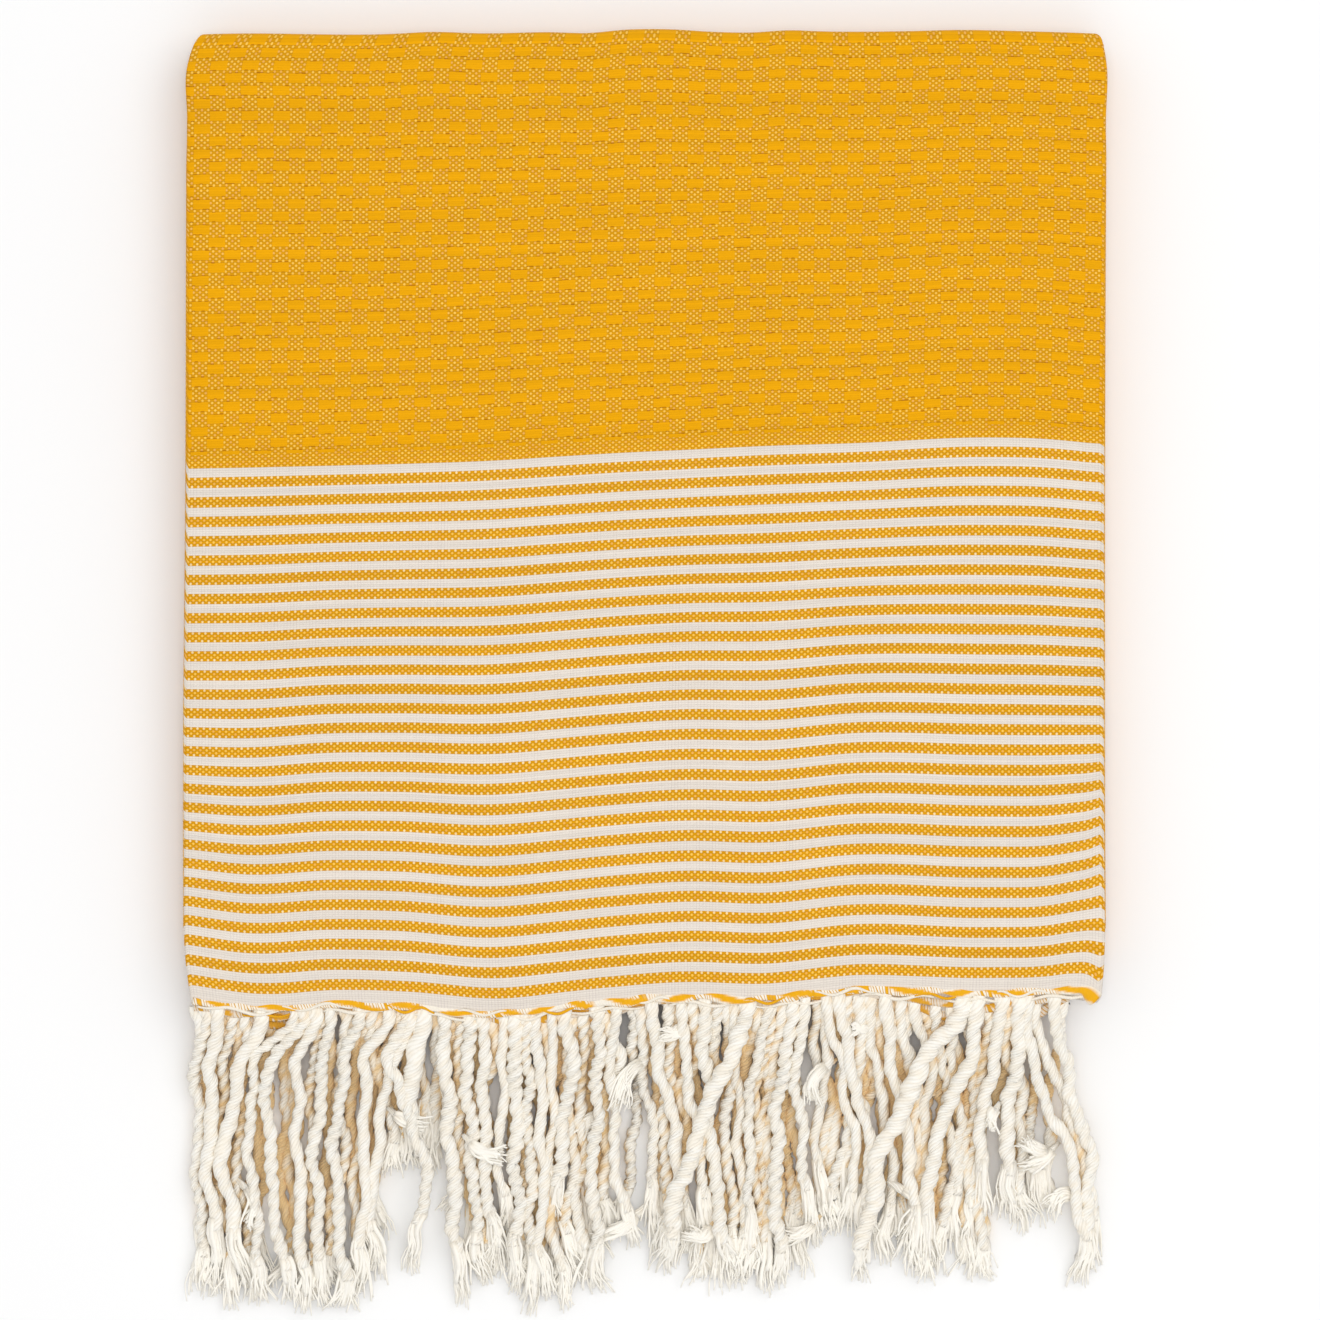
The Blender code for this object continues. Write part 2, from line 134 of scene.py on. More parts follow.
class Ripple(NamedTuple):
    """A faint wave of the face: the product of two sines, in radians for a millimetre."""

    share: float
    x: float
    y: float
    phase: float
    cross_x: float
    cross_y: float
    cross_phase: float


class Strand(NamedTuple):
    """A cord of the front fringe: its places across the towel, and how far it reaches."""

    layer: str    # "top" lies on the others, "mid" beneath it
    root: float   # x at the hem
    near: float   # x 25 mm from the hem
    far: float    # x 58 mm from the hem
    tip: float    # x at its end
    length: float
    lift: float = 0.0     # how far it lies above its layer, where it crosses others
    thick: float = 0.9    # its width, as a share of a full cord's


class Flyer(NamedTuple):
    """An open end that was flung across the other cords, by three points of its course."""

    x0: float
    y0: float
    x1: float
    y1: float
    x2: float
    y2: float
    high: float      # height at its start
    low: float       # height on which its end rests
    fan: float


class BareSpot(NamedTuple):
    """A place near the hem where the floor shows between the cords."""

    near: float      # x at the hem
    far: float       # x where the spot ends


class TipRow(NamedTuple):
    """How far the lower cords reach at one place across the towel."""

    x: float
    length: float


class Ring(NamedTuple):
    """A line across the fringe at which every cord's course has a point."""

    y: float
    width: float    # least room for a cord
    low: float      # middle height of each layer of cords
    mid: float
    top: float


def table(kind: type, *rows: tuple) -> tuple:
    """Give the rows of a table their named columns."""
    return tuple(kind(*row) for row in rows)


FOLDS = table(
    Fold,
    (347.0, 0.6),
    (26.0, -0.9),
    (343.0, 0.5),
    (19.0, 1.2),
    (345.0, -0.4),
)

WAVES = table(
    WaveRow,
    (-165, -0.4, -0.4, -3.6, -6.2),
    (-143, -3.3, -3.3, -4.0, -5.8),
    (-113, -2.0, -2.0, -2.2, -5.1),
    (-89, -2.5, -2.5, -2.0, -4.5),
    (-55, -4.9, -4.9, -2.5, -3.3),
    (-31, -2.9, -2.9, -0.7, -1.8),
    (-13, -1.1, -1.1, 0.9, -0.7),
    (16, 0.9, 0.9, 2.7, 0.7),
    (43, 0.2, 0.2, 2.4, 2.0),
    (77, 3.3, 3.3, 5.1, 3.1),
    (123, 2.2, 2.2, 4.5, 5.1),
    (146, 2.9, 2.9, 4.3, 4.5),
    (155, 3.6, 4.4, 4.25, 3.7),
    (161, 2.6, 5.3, 4.2, 3.1),
    (164.5, -0.6, 5.8, 4.2, 2.9),
)
WAVE_RUNS = (0.0, 26.0, 97.0, 197.0, 347.0)    # where the columns above hold, then the fold

HEM_SLIPS = table(
    SlipRow,
    (-165, 0.0, 0.0),
    (-145, 0.5, 1.0),
    (-133, 1.5, 4.0),
    (-122, 0.0, 1.0),
    (-60, 0.0, 0.0),
    (-42, 2.5, 4.5),
    (-28, 1.0, 5.5),
    (-14, 0.0, 0.5),
    (95, 0.0, 0.5),
    (112, 2.0, 6.0),
    (125, 3.0, 10.5),
    (134, 1.0, 4.0),
    (142, 1.0, 5.0),
    (150, 0.0, 0.5),
    (157, -2.0, -3.0),
    (165, -7.0, -9.0),
)

SIDE_EDGES = table(
    EdgeRow,
    (-20, -164.5, 165.0),
    (0, -165.5, 165.5),
    (14, -167.0, 166.2),
    (54, -167.6, 166.2),
    (190, -166.8, 166.2),
    (320, -166.4, 166.8),
    (340, -166.2, 167.0),
    (346, -164.4, 166.0),
    (352, -161.5, 164.2),
)

FAR_EDGE = table(
    FoldRow,
    (-165, -0.9),
    (-150, -0.6),
    (-92, -0.7),
    (-78, 0.0),
    (-60, -0.5),
    (-34, -0.1),
    (-22, -0.4),
    (-6, 0.9),
    (10, 0.9),
    (23, 0.1),
    (38, -0.2),
    (52, 0.6),
    (64, 0.2),
    (96, 0.3),
    (112, 0.7),
    (139, 0.2),
    (165, -0.6),
)

HUMPS = table(
    Hump,
    (-48, 8, 14, 5, 1.1),
    (-128, 6, 12, 5, 0.8),
    (-92, 12, 10, 6, 0.7),
    (22, 10, 16, 6, 0.7),
    (92, 8, 12, 5, 0.8),
    (140, 12, 10, 7, 0.7),
    (-110, 60, 30, 26, 0.6),
    (40, 70, 34, 30, 0.6),
    (-20, 250, 44, 36, 0.5),
    (96, 220, 30, 60, 0.6),
)

RIPPLES = table(
    Ripple,
    (1.0, 0.21, 0.05, 1.0, -0.04, 0.16, 0.0),
    (0.6, 0.47, -0.11, 0.0, 0.0, 0.31, 2.0),
)

STRANDS = table(
    Strand,
    ("top", -157, -158, -160, -155, 105, 0.0, 1.00),
    ("mid", -152, -154, -157, -150, 112, 0.0, 0.90),
    ("top", -141, -147.5, -155, -146, 108, 1.0, 1.00),
    ("top", -129, -144, -144.5, -140, 110, 0.5, 0.85),
    ("top", -125, -138, -137.5, -131, 109, 2.0, 0.95),
    ("top", -121, -127.5, -127, -125, 113, 0.0, 0.90),
    ("mid", -119, -122, -123, -121, 110, 0.0, 0.80),
    ("top", -115.5, -118, -121, -118, 110, 0.5, 0.90),
    ("top", -105, -110.5, -114, -109, 112, 0.5, 0.95),
    ("mid", -90, -98, -106, -107, 104, 0.0, 0.75),
    ("top", -94, -103, -102.5, -104, 108, 1.0, 0.90),
    ("top", -86, -93, -99, -101, 101, 0.0, 0.90),
    ("top", -88, -94, -80, -85, 98, 2.0, 0.85),
    ("top", -81.5, -85.5, -85, -85, 60, 0.5, 1.15),
    ("top", -74, -73.5, -71, -68, 110, 0.5, 1.00),
    ("top", -64.5, -65.5, -63.5, -61, 102, 0.0, 1.00),
    ("top", -60, -59, -59, -55, 97, 0.5, 0.85),
    ("top", -52.5, -52, -53.5, -51.5, 88, 0.0, 0.72),
    ("top", -48, -47.5, -47.5, -46.5, 106, 0.8, 1.05),
    ("top", -44, -43.5, -42.5, -41, 113, 0.0, 0.90),
    ("top", -41, -39, -37.5, -39, 108, 1.2, 0.85),
    ("mid", -37, -35.5, -39, -29, 112, 1.0, 0.85),
    ("top", -34.5, -34, -34.5, -35, 82, 0.0, 0.75),
    ("top", -30.5, -26.5, -32, -32.5, 82, 1.2, 1.05),
    ("mid", -28, -29, -27.5, -21, 104, 0.5, 0.90),
    ("top", -18, -17, -19.5, -18, 106, 1.0, 0.95),
    ("top", -11, -12.8, -11.5, -5, 89, 0.0, 0.85),
    ("mid", -2, -1, 3, 1, 88, 0.0, 0.80),
    ("top", 2, 5, 12.5, 6, 92, 0.5, 1.00),
    ("top", 13, 14.5, 20.5, 21, 90, 0.0, 0.85),
    ("top", 21.5, 21.5, 24, 30, 98, 1.0, 1.05),
    ("top", 37, 28.5, 15.5, 5, 98, 4.5, 1.15),
    ("mid", 32, 33, 34.5, 37, 99, 1.0, 0.80),
    ("top", 44.5, 39, 37, 40, 99, 0.0, 0.80),
    ("mid", 46, 44, 42, 46, 94, 0.0, 0.80),
    ("top", 54, 49.5, 47, 49, 104, 0.8, 1.00),
    ("top", 58, 54.5, 57, 62, 88, 0.0, 0.85),
    ("mid", 66, 65, 62, 66, 82, 0.0, 0.75),
    ("top", 66, 71, 77, 73, 84, 0.0, 0.75),
    ("top", 70.5, 75, 82, 80, 86, 1.0, 0.95),
    ("mid", 82, 83.5, 90, 87, 96, 0.5, 0.85),
    ("top", 87.5, 90, 96.5, 99, 99, 0.0, 0.90),
    ("mid", 98, 104, 101, 97, 96, 0.5, 0.85),
    ("mid", 106, 108, 112.5, 113, 92, 0.5, 0.85),
    ("top", 116, 99.5, 85, 77, 101, 4.5, 1.25),
    ("top", 121, 116.5, 103.5, 103, 99, 2.0, 1.15),
    ("mid", 119, 121, 117, 119, 88, 0.0, 0.80),
    ("top", 130, 125.5, 121.5, 125, 83, 0.5, 1.05),
    ("top", 136.5, 134.5, 131, 134, 79, 0.5, 1.15),
    ("top", 139.5, 140.5, 155, 161, 98, 1.5, 0.85),
    ("mid", 142, 147.5, 160, 164, 96, 1.5, 0.90),
    ("top", 149, 152.5, 162, 160, 103, 0.5, 0.95),
)

BARE_SPOTS = table(
    BareSpot,
    (-134, -134),
    (-113, -112),
    (-80, -78),
    (-7, -8),
    (60, 61),
    (144, 146),
    (156, 166),
)

TIP_REACH = table(
    TipRow,
    (-165, 103),
    (-120, 108),
    (-104, 96),
    (-95, 62),
    (-78, 56),
    (-72, 66),
    (-64, 98),
    (-30, 107),
    (-14, 84),
    (4, 82),
    (18, 102),
    (46, 104),
    (60, 84),
    (82, 82),
    (100, 100),
    (124, 98),
    (134, 78),
    (148, 80),
    (164, 100),
)

FLYERS = table(
    Flyer,
    (3.2, -19, -6.5, -29, -8.7, -41, 13.5, 9, 4.5),
    (70, -22, 60, -31, 58.5, -39, 13.5, 9, 4.5),
    (-15, -41, -21, -46, -25, -52, 9.0, 2, 3.5),
    (16, -8, 10.5, -12, 4, -12, 17.0, 15, 2.5),
    (0, -76, -9, -85, -18, -90, 9.0, 5, 4.0),
    (64, -80, 56, -87, 49, -90, 9.0, 4, 4.5),
    (151, -53, 144, -60, 138, -64, 11.0, 7, 3.5),
    (88, -67, 98, -74, 94, -88, 12.0, 6, 4.0),
    (-150, -66, -143, -74, -146, -84, 11.0, 7, 3.0),
    (-67, -50, -60, -56, -51, -57, 14.0, 10, 4.0),
    (149, -57, 142, -55, 137, -51, 12.0, 8, 3.5),
    (160, -73, 152, -72, 145, -77, 11.0, 6, 4.5),
    (83, -9.5, 79, -11, 74, -10, 17.0, 15, 2.5),
    (129, -38, 126, -43, 123.5, -47, 15.0, 10, 2.5),
    (-95, -40, -88, -45, -81, -49, 12.0, 8, 3.0),
    (26, -80, 21, -88, 14, -84, 10.0, 6, 3.5),
)

MID_FILL = (
    -161, -147, -110, -101, -68, -56, -50, -23, -15, 8, 17, 26, 40, 50, 73, 78, 93, 112, 126, 132,
)

RINGS = table(
    Ring,
    (-23.5, 4.0, 7.0, 10.3, 13.6),
    (-33, 4.6, 3.2, 6.9, 10.7),
    (-45, 5.2, 2.4, 5.9, 9.6),
    (-60, 5.2, 2.4, 5.9, 9.5),
    (-78, 5.2, 2.4, 5.9, 9.5),
    (-94, 5.2, 2.4, 5.9, 9.5),
)
NEAR_Y = -25.0
FAR_Y = -58.0
BARE_Y = -46.0       # where the bare spots end
LAST_RING = 6.0
FLOOR_GAP = 0.05     # everything stays this far above the floor


# ---- small helpers ----


def column(rows: tuple, name: str) -> Array:
    """One column of a table as numbers.

    Args:
        rows: The table.
        name: The column's name.

    Returns:
        The column's values, in the table's order.
    """
    return np.array([getattr(row, name) for row in rows], float)


def smooth_curve(knots: Array, values: Array, at: Array) -> Array:
    """Read a smooth curve through a few values, held level beyond its ends.

    Args:
        knots: Places of the values, rising.
        values: One value, or one row of values, for each knot.
        at: Places to read.

    Returns:
        The curve's values at those places.
    """
    knots = np.asarray(knots, float)
    values = np.asarray(values, float)
    at = np.clip(np.asarray(at, float), knots[0], knots[-1])
    slopes = np.gradient(values, knots, axis=0)
    cell = np.clip(np.searchsorted(knots, at) - 1, 0, len(knots) - 2)
    width = knots[cell + 1] - knots[cell]
    t = (at - knots[cell]) / width
    if values.ndim > 1:
        t = t[..., None]
        width = width[..., None]
    start, stop = values[cell], values[cell + 1]
    leave, arrive = slopes[cell] * width, slopes[cell + 1] * width
    rise = t * t * (3 - 2 * t)
    return (
        start * (1 - rise)
        + stop * rise
        + leave * t * (1 - t) ** 2
        - arrive * t * t * (1 - t)
    )


def smooth_step(low: float, high: float, value: Array) -> Array:
    """Rise gently from 0 at one value to 1 at another."""
    share = np.clip((value - low) / (high - low), 0.0, 1.0)
    return share * share * (3 - 2 * share)


def wander(number: int, span: float) -> float:
    """An even-handed wobble, different for each cord, of up to half a span either way."""
    return span * (math.modf(number * GOLDEN_SHARE)[0] - 0.5)


def spread(places: list[float], pitch: float) -> list[float]:
    """Move places along a line as little as needed to lie a pitch apart.

    Args:
        places: Places in order.
        pitch: Least distance between neighbours.

    Returns:
        The moved places, in the same order.
    """
    forward = list(places)
    for i in range(1, len(forward)):
        forward[i] = max(forward[i], forward[i - 1] + pitch)
    backward = list(places)
    for i in range(len(backward) - 2, -1, -1):
        backward[i] = min(backward[i], backward[i + 1] - pitch)
    return [(a + b) / 2 for a, b in zip(forward, backward)]


def uneven(
    random: np.random.Generator, knots: Array, limits: tuple, at: Array
) -> Array:
    """Draw a smooth curve through random values.

    Args:
        random: Source of the values.
        knots: Places of the values, rising.
        limits: Least and greatest value.
        at: Places to read.

    Returns:
        The curve's values at those places.
    """
    return smooth_curve(knots, random.uniform(*limits, len(knots)), at)


def rows_between(at: Array, run: Array, rows: Array) -> Array:
    """Read rows of values between the places where they are known.

    Args:
        at: Places to read.
        run: Places of the rows, rising.
        rows: One row of values for each place.

    Returns:
        One row for each place that was read.
    """
    return np.stack([np.interp(at, run, values) for values in rows.T], axis=1)


def run_along(line: Array) -> Array:
    """Distance from a line's start to each of its points."""
    steps = np.linalg.norm(np.diff(line, axis=0), axis=1)
    return np.concatenate([[0.0], np.cumsum(steps)])


def smooth_course(points: Array, step: float) -> Array:
    """Draw a smooth line through a few points, with its own points a step apart.

    Args:
        points: The points in order, one row each.
        step: Distance between the line's points.

    Returns:
        The line's points, one row each.
    """
    reach = run_along(points)
    fine = smooth_curve(reach, points, np.linspace(0, reach[-1], 30 * len(points)))
    run = run_along(fine)
    count = max(4, int(round(run[-1] / step)) + 1)
    return rows_between(np.linspace(0, run[-1], count), run, fine)


def frames_along(line: Array) -> tuple[Array, Array, Array]:
    """The direction of a line at each point, with a sideways and an upward normal.

    Args:
        line: Points of the line, one row each.

    Returns:
        Directions, sideways normals and upward normals, one row for each point.
    """
    ahead = np.gradient(line, axis=0)
    ahead /= np.linalg.norm(ahead, axis=1, keepdims=True)
    sideways = np.cross(ahead, [0.0, 0.0, 1.0])
    sideways /= np.maximum(np.linalg.norm(sideways, axis=1, keepdims=True), 1e-6)
    upward = np.cross(sideways, ahead)
    return ahead, sideways, upward


def ring_angles(sides: int) -> Array:
    """Directions of a ring's points from its middle."""
    return np.linspace(0, 2 * math.pi, sides, endpoint=False)


def round_outline(angle: Array, width: Array, height: Array) -> Array:
    """How far a tube's skin lies from its middle line.

    Args:
        angle: Direction of each point from the middle.
        width: Half the tube's width there.
        height: Half its height there.

    Returns:
        Distances sideways and upward, for each ring and side.
    """
    return np.stack([width * np.cos(angle), height * np.sin(angle)], axis=-1)


def skin_points(line: Array, outline: Array) -> Array:
    """Points of a tube's skin.

    Args:
        line: Its middle line, one row for each ring.
        outline: For each ring and side, how far the skin lies sideways and upward.

    Returns:
        The points, for each ring and side.
    """
    _, sideways, upward = frames_along(line)
    across = outline[..., :1] * sideways[:, None]
    return line[:, None] + across + outline[..., 1:] * upward[:, None]


def tube_places(run: Array, sides: int, turns: float = 1.0) -> Array:
    """Texture places of a tube's points.

    Args:
        run: Distance of each ring along the tube, in millimetres.
        sides: Points in each ring.
        turns: How much the place grows once round the tube.

    Returns:
        Places round the tube and along it, for each ring and side.
    """
    around = np.arange(sides) / sides * turns
    return np.stack(np.broadcast_arrays(around[None], run[:, None] * MILLIMETRE), axis=-1)


class MeshDraft:
    """Points, faces and surface values of one piece, gathered part by part."""

    def __init__(self) -> None:
        """Start with nothing."""
        self.points: list[Array] = []
        self.places: list[Array] = []
        self.values: dict[str, list[Array]] = {}
        self.faces: list[tuple[int, ...]] = []
        self.seams: list[Array] = []
        self.count = 0

    def add_points(self, points: Array, places: Array, **values: Array) -> int:
        """Add points with their places in the texture and their surface values.

        Args:
            points: Points in millimetres, one row each.
            places: Texture places in metres, one row each.
            values: Named surface values, one number for each point.

        Returns:
            The index of the first new point.
        """
        first = self.count
        self.points.append(np.asarray(points, float).reshape(-1, 3))
        self.places.append(np.asarray(places, float).reshape(-1, 2))
        for name, numbers in values.items():
            self.values.setdefault(name, []).append(np.asarray(numbers, float).ravel())
        self.count += len(self.points[-1])
        return first

    def add_faces(self, faces: list[tuple[int, ...]], seam: Array | None = None) -> None:
        """Add faces.

        Args:
            faces: Point indices of each face.
            seam: What to add to the texture place of each corner, for faces that close a ring.
        """
        self.faces += faces
        corners = sum(len(face) for face in faces)
        self.seams.append(np.zeros((corners, 2)) if seam is None else seam)

    def add_rings(self, first: int, rings: int, sides: int, period: tuple = (0.0, 0.0)) -> None:
        """Wall in a run of closed rings that were added one after another.

        Args:
            first: Index of the first ring's first point.
            rings: Number of rings.
            sides: Points in each ring.
            period: How much the texture place grows once round a ring.
        """
        here = np.arange(sides)
        after = (here + 1) % sides
        starts = first + sides * np.arange(rings - 1)[:, None]
        quads = np.stack(
            [starts + here, starts + after, starts + sides + after, starts + sides + here],
            axis=2,
        )
        seam = np.zeros((*quads.shape, 2))
        seam[:, -1, 1:3] = period
        self.add_faces(quads.reshape(-1, 4).tolist(), seam.reshape(-1, 2))

    def add_tube(
        self,
        line: Array,
        outline: Array,
        places: Array,
        period: tuple = (1.0, 0.0),
        **values: Array | float,
    ) -> None:
        """Add a closed tube that stays above the floor.

        Args:
            line: Middle line, one row for each ring.
            outline: For each ring and side, how far the skin lies sideways and upward.
            places: Texture places for each ring and side.
            period: How much the texture place grows once round the tube.
            values: Named surface values, one in all or for each ring and side.
        """
        rings, sides = outline.shape[:2]
        points = skin_points(line, outline)
        points[..., 2] = np.maximum(points[..., 2], FLOOR_GAP)
        held = {name: np.broadcast_to(value, (rings, sides)) for name, value in values.items()}
        first = self.add_points(points, places, **held)
        self.add_rings(first, rings, sides, period)
        last = first + sides * (rings - 1)
        self.add_faces([
            tuple(range(first + sides - 1, first - 1, -1)),
            tuple(range(last, last + sides)),
        ])

    def build(self, name: str, material: Material) -> Piece:
        """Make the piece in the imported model's frame.

        Args:
            name: The piece's name.
            material: Its finish.

        Returns:
            The new object.
        """
        points = (np.concatenate(self.points) - ORIGIN) * MILLIMETRE
        mesh = bpy.data.meshes.new(name)
        mesh.from_pydata(points.tolist(), [], self.faces)
        layer = mesh.uv_layers.new(name="UVMap")
        corners = np.empty(len(mesh.loops), int)
        mesh.loops.foreach_get("vertex_index", corners)
        places = np.concatenate(self.places)[corners] + np.concatenate(self.seams)
        layer.data.foreach_set("uv", places.ravel())
        for value_name, numbers in self.values.items():
            held = mesh.attributes.new(value_name, "FLOAT", "POINT")
            held.data.foreach_set("value", np.concatenate(numbers))
        mesh.shade_smooth()
        mesh.materials.append(material)
        made = bpy.data.objects.new(name, mesh)
        bpy.context.scene.collection.objects.link(made)
        return made


def triangle_count(piece: Piece) -> int:
    """Number of triangles in a piece."""
    return sum(len(face.vertices) - 2 for face in piece.data.polygons)


# ---- node graphs ----


class Graph:
    """A node tree under construction."""

    def __init__(self, tree: Tree) -> None:
        """Work on a tree.

        Args:
            tree: A material's or a group's node tree.
        """
        self.tree = tree

    def node(self, kind: str, **settings: object) -> Node:
        """Add a node.

        Args:
            kind: Blender's name for its kind.
            settings: What to set on it, by name.

        Returns:
            The node.
        """
        made = self.tree.nodes.new(kind)
        for name, value in settings.items():
            setattr(made, name, value)
        return made

    def feed(self, socket: Socket, value: Feed) -> None:
        """Link a socket to another one, or set its value.

        Args:
            socket: The socket.
            value: What feeds it.
        """
        if isinstance(value, Socket):
            self.tree.links.new(value, socket)
        elif socket.type == "RGBA" and len(value) == 3:
            socket.default_value = (*value, 1.0)
        else:
            socket.default_value = value

    def add(
        self, kind: str, feeds: dict[str | int, Feed], out: str | int = 0, **settings: object
    ) -> Socket:
        """Add a node that is fed at once.

        Args:
            kind: Blender's name for its kind.
            feeds: What feeds its inputs, by name or by number.
            out: Which of its outputs is wanted.
            settings: What to set on it, by name.

        Returns:
            That output.
        """
        made = self.node(kind, **settings)
        for key, value in feeds.items():
            self.feed(made.inputs[key], value)
        return made.outputs[out]

    def vector(self, x: Feed, y: Feed, z: Feed = 0.0) -> Socket:
        """Join three values."""
        return self.add("ShaderNodeCombineXYZ", {0: x, 1: y, 2: z})

    def blend(self, share: Feed, low: Feed, high: Feed) -> Socket:
        """Blend from one value to another by a share from 0 to 1."""
        return self.add("ShaderNodeMix", {0: share, 2: low, 3: high}, data_type="FLOAT")

    def tint(self, share: Feed, low: Feed, high: Feed, mode: str = "MIX") -> Socket:
        """Blend from one colour to another by a share from 0 to 1."""
        feeds = {0: share, 6: low, 7: high}
        return self.add("ShaderNodeMix", feeds, 2, data_type="RGBA", blend_type=mode)

    def toned(self, colour: Feed, tone: Feed) -> Socket:
        """Make a colour lighter or darker, where 1 leaves it as it is."""
        return self.tint(1.0, colour, self.vector(tone, tone, tone), "MULTIPLY")

    def noise(
        self, place: Feed, scale: float, detail: float = 2.0, roughness: float = 0.5
    ) -> Socket:
        """Draw a soft noise of about 0.5, with a detail of so many finer ones on it."""
        feeds = {"Vector": place, "Scale": scale, "Detail": detail, "Roughness": roughness}
        return self.add("ShaderNodeTexNoise", feeds, "Fac")

    def chance(self, first: Feed, second: Feed) -> Socket:
        """Draw a value from 0 to 1 for each pair of whole numbers."""
        feeds = {"Vector": self.vector(first, second)}
        return self.add("ShaderNodeTexWhiteNoise", feeds, "Value", noise_dimensions="2D")

    def surface_value(self, name: str) -> Socket:
        """Read a value that the mesh holds at its points."""
        settings = {"attribute_name": name, "attribute_type": "GEOMETRY"}
        return self.add("ShaderNodeAttribute", {}, "Fac", **settings)

    def step(self, value: Feed, low: float, high: float) -> Socket:
        """Rise gently from 0 at one value to 1 at another, which may be the lower.

        Args:
            value: The value.
            low: Where the answer is 0.
            high: Where it is 1.

        Returns:
            The answer.
        """
        feeds = {
            "Value": value,
            "From Min": min(low, high),
            "From Max": max(low, high),
            "To Min": 0.0 if low < high else 1.0,
            "To Max": 1.0 if low < high else 0.0,
        }
        return self.add("ShaderNodeMapRange", feeds, "Result", interpolation_type="SMOOTHSTEP")

    def place(self) -> tuple[Socket, Socket]:
        """Read the texture coordinates.

        Returns:
            The first one and the second one.
        """
        held = self.add("ShaderNodeUVMap", {}, uv_map="UVMap")
        parts = self.node("ShaderNodeSeparateXYZ")
        self.feed(parts.inputs[0], held)
        return parts.outputs[0], parts.outputs[1]

    def math(self, operation: str, *values: Feed) -> Socket:
        """Work out one value from others by Blender's name for the operation."""
        return self.add("ShaderNodeMath", dict(enumerate(values)), operation=operation)

    def floor(self, value: Feed) -> Socket:
        """The whole number at or under a value."""
        return self.math("FLOOR", value)

    def ratio(self, value: Feed, divisor: Feed) -> Socket:
        """One value divided by another."""
        return self.math("DIVIDE", value, divisor)

    def chain(self, operation: str, values: tuple[Feed, ...]) -> Socket:
        """Join several values by one operation.

        Args:
            operation: Blender's name for the operation.
            values: The values in order.

        Returns:
            The result.
        """
        result = values[0]
        for value in values[1:]:
            result = self.math(operation, result, value)
        return result

    def total(self, *values: Feed) -> Socket:
        """Add several values up."""
        return self.chain("ADD", values)

    def product(self, *values: Feed) -> Socket:
        """Multiply several values."""
        return self.chain("MULTIPLY", values)

    def less(self, value: Feed, taken: Feed) -> Socket:
        """One value less another."""
        return self.math("SUBTRACT", value, taken)

    def size(self, value: Feed) -> Socket:
        """A value without its sign."""
        return self.math("ABSOLUTE", value)

    def off_middle(self, count: Feed) -> Socket:
        """How far a count of threads lies from the middle of its thread, in pitches."""
        return self.less(self.math("FRACT", count), 0.5)

    def flip(self, value: Feed) -> Socket:
        """One less the value."""
        return self.less(1.0, value)

    def use(self, group: Tree, **feeds: Feed) -> dict[str, Socket]:
        """Place a shared group.

        Args:
            group: The group.
            feeds: What feeds each of its inputs, with _ for a space in a name.

        Returns:
            The group's outputs by name.
        """
        made = self.node("ShaderNodeGroup", node_tree=group)
        for name, value in feeds.items():
            self.feed(made.inputs[name.replace("_", " ")], value)
        return {socket.name: socket for socket in made.outputs}


def open_group(
    name: str, inputs: dict[str, float], outputs: tuple[str, ...]
) -> tuple[Graph, dict[str, Socket], Node]:
    """Start a shared node group of plain values.

    Args:
        name: The group's name.
        inputs: Its inputs with their usual values.
        outputs: Its outputs.

    Returns:
        The graph inside it, its input sockets by name, and its output node.
    """
    tree = bpy.data.node_groups.new(name, "ShaderNodeTree")
    for socket_name, value in inputs.items():
        made = tree.interface.new_socket(
            name=socket_name, in_out="INPUT", socket_type="NodeSocketFloat"
        )
        made.default_value = value
    for socket_name in outputs:
        tree.interface.new_socket(
            name=socket_name, in_out="OUTPUT", socket_type="NodeSocketFloat"
        )
    graph = Graph(tree)
    entry = graph.node("NodeGroupInput")
    leave = graph.node("NodeGroupOutput")
    return graph, {socket.name: socket for socket in entry.outputs if socket.name}, leave


def plain_weave_group() -> Tree:
    """Plain weave: where a warp thread shows over the weft, and how the threads stand.

    Returns:
        The group, with counts of threads across and along as inputs.
    """
    inputs = {"Across": 0.0, "Along": 0.0, "Dot Width": 0.37, "Dot Length": 0.6}
    graph, given, leave = open_group("Plain weave", inputs, ("Dots", "Relief", "Gaps"))
    dot_edge = (1.2, 0.7)      # of a dot's half size, from its outside to its inside
    dot_fall = 0.4
    gap_edge = (0.55, 1.0)     # from a weft thread's middle to the gap beside it
    across, along = given["Across"], given["Along"]
    warp = graph.floor(across)
    weft = graph.floor(along)
    over = graph.math("FLOORED_MODULO", graph.total(warp, weft), 2.0)
    from_weft = graph.off_middle(along)
    wide = graph.ratio(graph.off_middle(across), given["Dot Width"])
    long = graph.ratio(from_weft, given["Dot Length"])
    off = graph.math("SQRT", graph.total(graph.product(wide, wide), graph.product(long, long)))
    dots = graph.product(over, graph.step(off, *dot_edge))
    gap = graph.size(graph.product(from_weft, 2.0))
    weft_round = graph.flip(graph.product(gap, gap))
    dot_round = graph.flip(graph.product(off, off, dot_fall))
    graph.feed(leave.inputs["Dots"], dots)
    graph.feed(leave.inputs["Relief"], graph.blend(dots, weft_round, dot_round))
    graph.feed(leave.inputs["Gaps"], graph.step(gap, *gap_edge))
    return graph.tree


